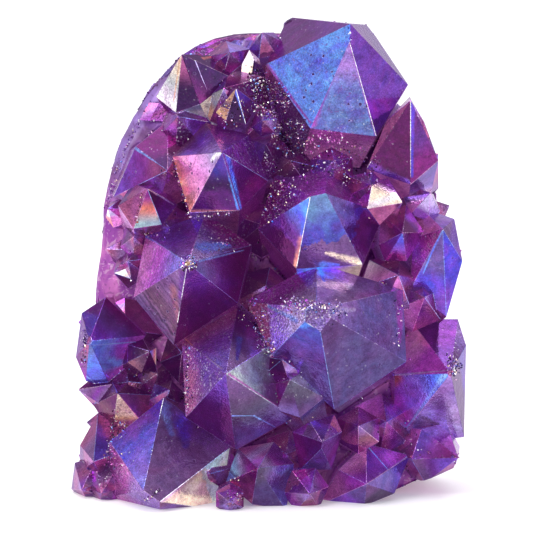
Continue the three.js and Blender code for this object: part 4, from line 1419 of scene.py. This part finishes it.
    def paint_by_rule(self, mesh: bpy.types.Mesh, face: bpy.types.MeshPolygon, draw: random.Random,
                      paint: "FacePaint") -> None:
        """Colours a face from the likeliest tip to the corner farthest from it, with painted light and
        shade: the darkest course in hollows, the outer crystals' courses at the sides, else a lighter course
        if it faces up or to the left and a darker one if not.

        Args:
            mesh: The crystals' mesh.
            face: The face.
            draw: The seeded source of chance.
            paint: The faces' colours so far.
        """
        points = [mesh.vertices[i].co for i in face.vertices]
        tip = max(points, key=lambda p: abs(p.x) * self.tip_side - p.y + p.z * self.tip_rise)
        far = max(points, key=lambda p: (p - tip).length)
        lit = face.normal.z > self.lit_rise or face.normal.x < self.lit_side
        spot = self.sheet.place(face.center)
        in_shaded_hollow = any(math.dist(spot, middle) < radius for middle, radius in SHADED_HOLLOWS)
        outer = abs(face.center.x) > self.outer_reach
        courses = LIT_COURSES if lit else SHADED_COURSES
        course = draw.choice(HOLLOW_SHADE_COURSES if in_shaded_hollow else OUTER_COURSES if outer else courses)
        traits = (draw.choice(self.JAGS), draw.uniform(*self.SPARKLES), draw.choice(self.PITS))
        paint.course(face.index, tip, far, course, traits)

    def paint_facet(self, tree: BVHTree, normals: np.ndarray, centres: np.ndarray, facet: Facet,
                    paint: "FacePaint") -> None:
        """Colours the face that a named facet's middle lies on, with the pieces that it has been cut into.

        Args:
            tree: The crystals' faces, for looking along the line of sight.
            normals: The normal of each face.
            centres: The centre of each face.
            facet: The facet.
            paint: The faces' colours so far.
        """
        place, normal, hit, _ = tree.ray_cast(*self.sheet.ray(facet.middle))
        if hit is None:
            LOG.warning("facet %s lies off the crystals", facet.name)
            return
        away = centres - np.array(place)
        level = np.abs(away @ np.array(normal)) < self.merge
        near = np.linalg.norm(away, axis=1) < self.piece_reach
        pieces = np.flatnonzero(level & near & (normals @ np.array(normal) > self.piece_turn))
        for i in {hit, *pieces.tolist()}:
            start, end = (self.sheet.on_plane(spot, place, normal) for spot in (facet.start, facet.end))
            paint.course(i, start, end, facet.tints, (facet.jag, facet.sparkle, facet.pits))
            paint.values["facet_lines"][i] = facet.lines
            paint.values["facet_shine"][i] = facet.shine
            for number, stroke in enumerate(facet.strokes):
                ends = [self.sheet.on_plane(spot, place, normal) for spot in (stroke.start, stroke.end)]
                paint.stroke(i, number, *ends, stroke)

    def paint_ridges(self, mesh: bpy.types.Mesh, draw: random.Random, paint: "FacePaint") -> None:
        """Gives each bevelled strip a mix of the two faces that it parts with a painted highlight.

        Args:
            mesh: The crystals' mesh.
            draw: The seeded source of chance.
            paint: The faces' colours so far.
        """
        sides = faces_by_edge(mesh)
        for face in mesh.polygons:
            if face.material_index != Surface.RIDGE:
                continue
            beside = {i for key in face.edge_keys for i in sides[tuple(sorted(key))]
                      if mesh.polygons[i].material_index == Surface.FILM}
            if beside:
                share, tint = draw.choice(self.RIDGE_HIGHLIGHT_SHARES), draw.choice(self.RIDGE_HIGHLIGHTS)
                paint.ridge(face.index, sorted(beside), share, tint)


class FacePaint:
    """The colours and courses of all the faces of a mesh, gathered before they are stored."""

    LAYERS = ("facet_near", "facet_middle", "facet_far")
    STROKES = 2
    NO_STROKE = 1e4
    PLAIN_LINES = 0.12
    RIDGE_TRAITS = (0.0, 0.7, 0.0)
    LEAST_COURSE = 1e-9

    def __init__(self, count: int) -> None:
        """Starts with plain faces.

        Args:
            count: How many faces there are.
        """
        strokes = [f"stroke{number}" for number in range(self.STROKES)]
        ends = [f"{name}_{end}" for name in strokes for end in ("place", "line")]
        self.vectors = {name: np.zeros((count, 3), np.float32)
                        for name in ("facet_start", "facet_course", *ends)}
        self.colours = {name: np.ones((count, 4), np.float32)
                        for name in (*self.LAYERS, "facet_traits", *(f"{name}_tint" for name in strokes))}
        self.values = {f"{name}_reach": np.full(count, self.NO_STROKE, np.float32) for name in strokes}
        self.values["facet_lines"] = np.full(count, self.PLAIN_LINES, np.float32)
        self.values["facet_shine"] = np.zeros(count, np.float32)

    def course(self, face: int, start: Vector, end: Vector, tints: Course, traits: Triple) -> None:
        """Sets a face's three tints from a start to an end.

        Args:
            face: The face's number.
            start: Where the first tint is.
            end: Where the last tint is.
            tints: The three tints.
            traits: How jagged, sparkling and pitted the face is.
        """
        reach = end - start
        self.vectors["facet_start"][face] = start
        self.vectors["facet_course"][face] = reach / max(reach.length_squared, self.LEAST_COURSE)
        self.colours["facet_traits"][face, :3] = traits
        for name, tint in zip(self.LAYERS, tints):
            self.colours[name][face, :3] = tint.linear

    def stroke(self, face: int, number: int, start: Vector, end: Vector, stroke: Stroke) -> None:
        """Sets a soft streak of another tint on a face.

        Args:
            face: The face's number.
            number: Which of its strokes this is.
            start: Where the streak starts.
            end: Where it ends.
            stroke: Its width and tint.
        """
        self.vectors[f"stroke{number}_place"][face] = start
        self.vectors[f"stroke{number}_line"][face] = end - start
        self.colours[f"stroke{number}_tint"][face, :3] = stroke.tint.linear
        self.values[f"stroke{number}_reach"][face] = 1 / (stroke.width * MM)

    def ridge(self, face: int, beside: list[int], share: float, tint: Tint) -> None:
        """Mixes a ridge's colours from the faces beside it and a painted highlight tint.

        Args:
            face: The ridge's face.
            beside: The faces beside it.
            share: How much of the painted highlight it has, from 0 to 1.
            tint: The painted highlight's tint.
        """
        for values in (*self.vectors.values(), *self.values.values()):
            values[face] = values[beside[0]]
        self.values["facet_shine"][face] = 0.0
        self.colours["facet_traits"][face, :3] = self.RIDGE_TRAITS
        for name in self.LAYERS:
            mean = self.colours[name][beside, :3].mean(axis=0)
            self.colours[name][face, :3] = mean * (1 - share) + np.array(tint.linear) * share

    def store(self, mesh: bpy.types.Mesh) -> None:
        """Writes everything to the mesh as attributes of its faces.

        Args:
            mesh: The mesh.
        """
        kinds = (("FLOAT_VECTOR", "vector", self.vectors), ("FLOAT_COLOR", "color", self.colours),
                 ("FLOAT", "value", self.values))
        for kind, key, lists in kinds:
            for name, values in lists.items():
                mesh.attributes.new(name, kind, "FACE").data.foreach_set(key, values.ravel())


@dataclass(frozen=True)
class Site:
    """Where a very small crystal stands, which way it points, how wide it is, in metres, and its colour."""

    place: Vector
    axis: Vector
    width: float
    tint: Colour


@dataclass
class Druse:
    """The crust of very small crystals in the valleys and in patches on the front."""

    sheet: Sheet
    crystals: bpy.types.Object
    valley_turn: float = math.radians(24)
    spacing: float = 0.0006
    spread: float = 0.0008
    least_width: float = 0.00014
    most_width: float = 0.00052
    small_often: float = 2.5
    leaning: float = 0.45
    clump_scales: Point = (90, 300)
    clump_edge: float = 0.5
    glint_share: float = 0.24
    seed: int = 5

    # Painted glints: white and pale crystals standing in for the light that druse catches.
    GLINTS = (Tint.WHITE, Tint.WHITE, Tint.WHITE, Tint.CREAM, Tint.BLUSH, Tint.SKY)
    STONES = (Tint.PURPLE, Tint.PLUM, Tint.ORCHID, Tint.LILAC)
    SHADES = (0.35, 0.6, 0.9, 1.2)
    PRISM, RAISED, LEVEL = 0.9, 0.1, 0.9
    TIP = (0.05, 0.02, 0.5)

    def build(self) -> bpy.types.Object:
        """Models one crystal and sets copies of it on all the sites.

        Returns:
            The finished piece.
        """
        draw = random.Random(self.seed)
        tree = face_tree(self.crystals.data)
        sites = [*self.valley_sites(draw, tree), *self.front_sites(draw, tree)]
        corners, faces = self.one_crystal()
        piece = self.planted(sites, corners, faces)
        piece.data.materials.append(DruseFinish().material())
        settle(piece)
        LOG.info("druse: %d crystals, %d faces", len(sites), len(piece.data.polygons))
        return piece

    def one_crystal(self) -> tuple[np.ndarray, Rings]:
        """Models one six-sided crystal, one unit wide, open below and sunk a little into what it stands on.

        Returns:
            Its corners and faces.
        """
        bpy.ops.object.select_all(action="DESELECT")
        middle = (0, 0, self.RAISED)
        bpy.ops.mesh.primitive_cylinder_add(vertices=6, radius=0.5, depth=self.PRISM, location=middle)
        crystal = bpy.context.active_object
        pick(crystal, "FACE", [face.normal.z > self.LEVEL for face in crystal.data.polygons])
        bpy.ops.mesh.extrude_region_move(TRANSFORM_OT_translate={"value": self.TIP})
        bpy.ops.mesh.merge(type="CENTER")
        bpy.ops.object.mode_set(mode="OBJECT")
        pick(crystal, "FACE", [face.normal.z < -self.LEVEL for face in crystal.data.polygons])
        bpy.ops.mesh.delete(type="FACE")
        bpy.ops.object.mode_set(mode="OBJECT")
        place = crystal.matrix_world
        corners = np.array([tuple(place @ v.co) for v in crystal.data.vertices])
        faces = [tuple(face.vertices) for face in crystal.data.polygons]
        bpy.data.objects.remove(crystal)
        return corners, faces

    def some_width(self, draw: random.Random) -> float:
        """A random width, small ones more often."""
        return self.least_width + (self.most_width - self.least_width) * draw.random() ** self.small_often

    def some_site(self, draw: random.Random, place: Vector, normal: Vector, host: int) -> Site:
        """A site on a face, leaning by chance, coloured like the face, or white and pale as a painted glint.

        Args:
            draw: The seeded source of chance.
            place: Where it stands.
            normal: The way that it points before it leans.
            host: The face that it stands on.

        Returns:
            The site.
        """
        lean = Vector([draw.gauss(0, self.leaning) for _ in range(3)])
        mesh = self.crystals.data
        if draw.random() < self.glint_share:
            tint = draw.choice(self.GLINTS).linear
        elif mesh.polygons[host].material_index in (Surface.FILM, Surface.RIDGE):
            layer = mesh.attributes[draw.choice(FacePaint.LAYERS)].data[host].color
            shade = draw.choice(self.SHADES)
            tint = tuple(min(part * shade, 1.0) for part in layer[:3])
        else:
            tint = draw.choice(self.STONES).linear
        return Site(place, (normal + lean).normalized(), self.some_width(draw), tint)

    def valley_sites(self, draw: random.Random, tree: BVHTree) -> list[Site]:
        """Sites along the valleys between crystals, in clumps.

        Args:
            draw: The seeded source of chance.
            tree: The crystals' faces, to which a site is drawn.

        Returns:
            The sites.
        """
        mesh = self.crystals.data
        coarse, fine = self.clump_scales
        sites = []
        for (a, b), faces in faces_by_edge(mesh).items():
            if len(faces) != 2:
                continue
            first, second = (mesh.polygons[i] for i in faces)
            inward = (second.center - first.center).dot(first.normal) > 0
            if not inward or first.normal.angle(second.normal, 0.0) < self.valley_turn:
                continue
            start, end = mesh.vertices[a].co, mesh.vertices[b].co
            for _ in range(int((end - start).length / self.spacing)):
                spot = start.lerp(end, draw.random())
                clump = noise.noise(spot * coarse) + noise.noise(spot * fine) / 2
                if clump < draw.uniform(-self.clump_edge, self.clump_edge):
                    continue
                face = draw.choice((first, second))
                across = face.center - spot
                across -= face.normal * across.dot(face.normal)
                spot = spot + across.normalized() * abs(draw.gauss(0, self.spread))
                spot, _, host, _ = tree.find_nearest(spot)
                sites.append(self.some_site(draw, spot, first.normal + second.normal, host))
        return sites

    def front_sites(self, draw: random.Random, tree: BVHTree) -> list[Site]:
        """Sites in round patches and along lines of the sheet, on whatever lies behind them.

        Args:
            draw: The seeded source of chance.
            tree: The crystals' faces, for looking along the line of sight.

        Returns:
            The sites.
        """
        spots = []
        for middle, radius, count in DRUSE_PATCHES:
            for _ in range(count):
                angle, reach = draw.uniform(0, math.tau), radius * math.sqrt(draw.random())
                spots.append((middle[0] + reach * math.cos(angle), middle[1] + reach * math.sin(angle)))
        for start, end, spread, count in DRUSE_LINES:
            for _ in range(count):
                share = draw.random()
                spots.append(tuple(a + (b - a) * share + draw.gauss(0, spread) for a, b in zip(start, end)))
        sites = []
        for spot in spots:
            place, normal, host, _ = tree.ray_cast(*self.sheet.ray(spot))
            if place:
                sites.append(self.some_site(draw, place, normal, host))
        return sites

    def planted(self, sites: list[Site], corners: np.ndarray, faces: Rings) -> bpy.types.Object:
        """Joins one copy of the crystal for each site into a mesh.

        Args:
            sites: The sites.
            corners: The crystal's corners.
            faces: The crystal's faces.

        Returns:
            The piece.
        """
        points, rings, tints = [], [], []
        low, high = (np.array(corner) for corner in CAD_BOX)
        for site in sites:
            turn = site.axis.to_track_quat("Z", "Y").to_matrix()
            copy = corners * site.width @ np.array(turn).T + np.array(site.place)
            if (copy < low).any() or (copy > high).any():
                continue
            base = len(points) * len(corners)
            points.append(copy)
            rings.extend(tuple(base + i for i in ring) for ring in faces)
            tints.extend([(*site.tint, 1.0)] * len(faces))
        mesh = bpy.data.meshes.new("aura_druse")
        mesh.from_pydata(np.concatenate(points).tolist(), [], rings)
        mesh.attributes.new("druse_tint_and_glint", "FLOAT_COLOR", "FACE").data.foreach_set("color", np.ravel(tints))
        return placed("aura_druse", mesh)


@dataclass(frozen=True)
class Lamp:
    """A square area light: its name, place and side in metres, its power in watts and its colour."""

    name: str
    place: Triple
    size: float
    watts: float
    colour: Colour


@dataclass
class Studio:
    """A pale floor, soft lights and the camera."""

    sheet: Sheet
    frame_width: float = 0.13325
    lens: float = 1500.0
    sensor: float = 36.0
    frame_centre: Point = (-0.875, 61.625)
    floor_size: float = 6.0
    sky_tint: Colour = (0.94, 0.93, 1.0)
    sky_strength: float = 0.8
    lit_point: Triple = (0, 0, 0.05)

    LAMPS = (Lamp("key", (-0.6, -0.5, 0.75), 0.5, 5.0, (1.0, 0.97, 0.94)),
             Lamp("fill", (0.7, -0.5, 0.3), 0.5, 1.5, (0.92, 0.94, 1.0)),
             Lamp("top", (0.05, 0.2, 0.9), 0.9, 6.0, (1.0, 1.0, 1.0)))

    def build(self) -> None:
        """Makes the floor, the lights, the surroundings and the camera."""
        self.floor()
        self.surroundings()
        for lamp in self.LAMPS:
            self.light(lamp)
        self.camera()
        LOG.info("studio: floor, lights and camera")

    def floor(self) -> None:
        """A wide pale floor under the cut."""
        bpy.ops.mesh.primitive_plane_add(size=self.floor_size, location=(0, 0, 0))
        floor = bpy.context.active_object
        floor.name = "floor"
        floor.data.materials.append(PaperFinish().material())

    def surroundings(self) -> None:
        """Even pale light from all round."""
        world = bpy.data.worlds.new("studio")
        bpy.context.scene.world = world
        world.use_nodes = True
        background = world.node_tree.nodes["Background"]
        background.inputs["Color"].default_value = (*self.sky_tint, 1.0)
        background.inputs["Strength"].default_value = self.sky_strength
        bpy.context.scene.view_settings.view_transform = "Standard"

    def light(self, lamp: Lamp) -> None:
        """Sets up one soft light that faces the cluster.

        Args:
            lamp: The light.
        """
        data = bpy.data.lights.new(lamp.name, "AREA")
        data.size = lamp.size
        data.energy = lamp.watts
        data.color = lamp.colour
        light = placed(lamp.name, data)
        light.location = lamp.place
        sight = Vector(self.lit_point) - Vector(lamp.place)
        light.rotation_euler = sight.to_track_quat("-Z", "Y").to_euler()

    def camera(self) -> None:
        """A long lens that looks along the sheet's line of sight."""
        data = bpy.data.cameras.new("camera")
        data.lens = self.lens
        data.sensor_width = self.sensor
        camera = placed("camera", data)
        away = self.frame_width / 2 / (self.sensor / 2 / self.lens)
        camera.location = self.sheet.point(self.frame_centre) - self.sheet.SIGHT * away
        camera.rotation_mode = "QUATERNION"
        camera.rotation_quaternion = self.sheet.SIGHT.to_track_quat("-Z", "Y")
        data.clip_end = away * 3
        bpy.context.scene.camera = camera


def main() -> None:
    """Builds the pieces in order, then the studio."""
    logging.basicConfig(level=logging.INFO, format="%(name)s: %(message)s")
    sheet = Sheet()
    crystals = Crystals(sheet, Wall()).build()
    Druse(sheet, crystals).build()
    Studio(sheet).build()


if __name__ == "__main__":
    main()
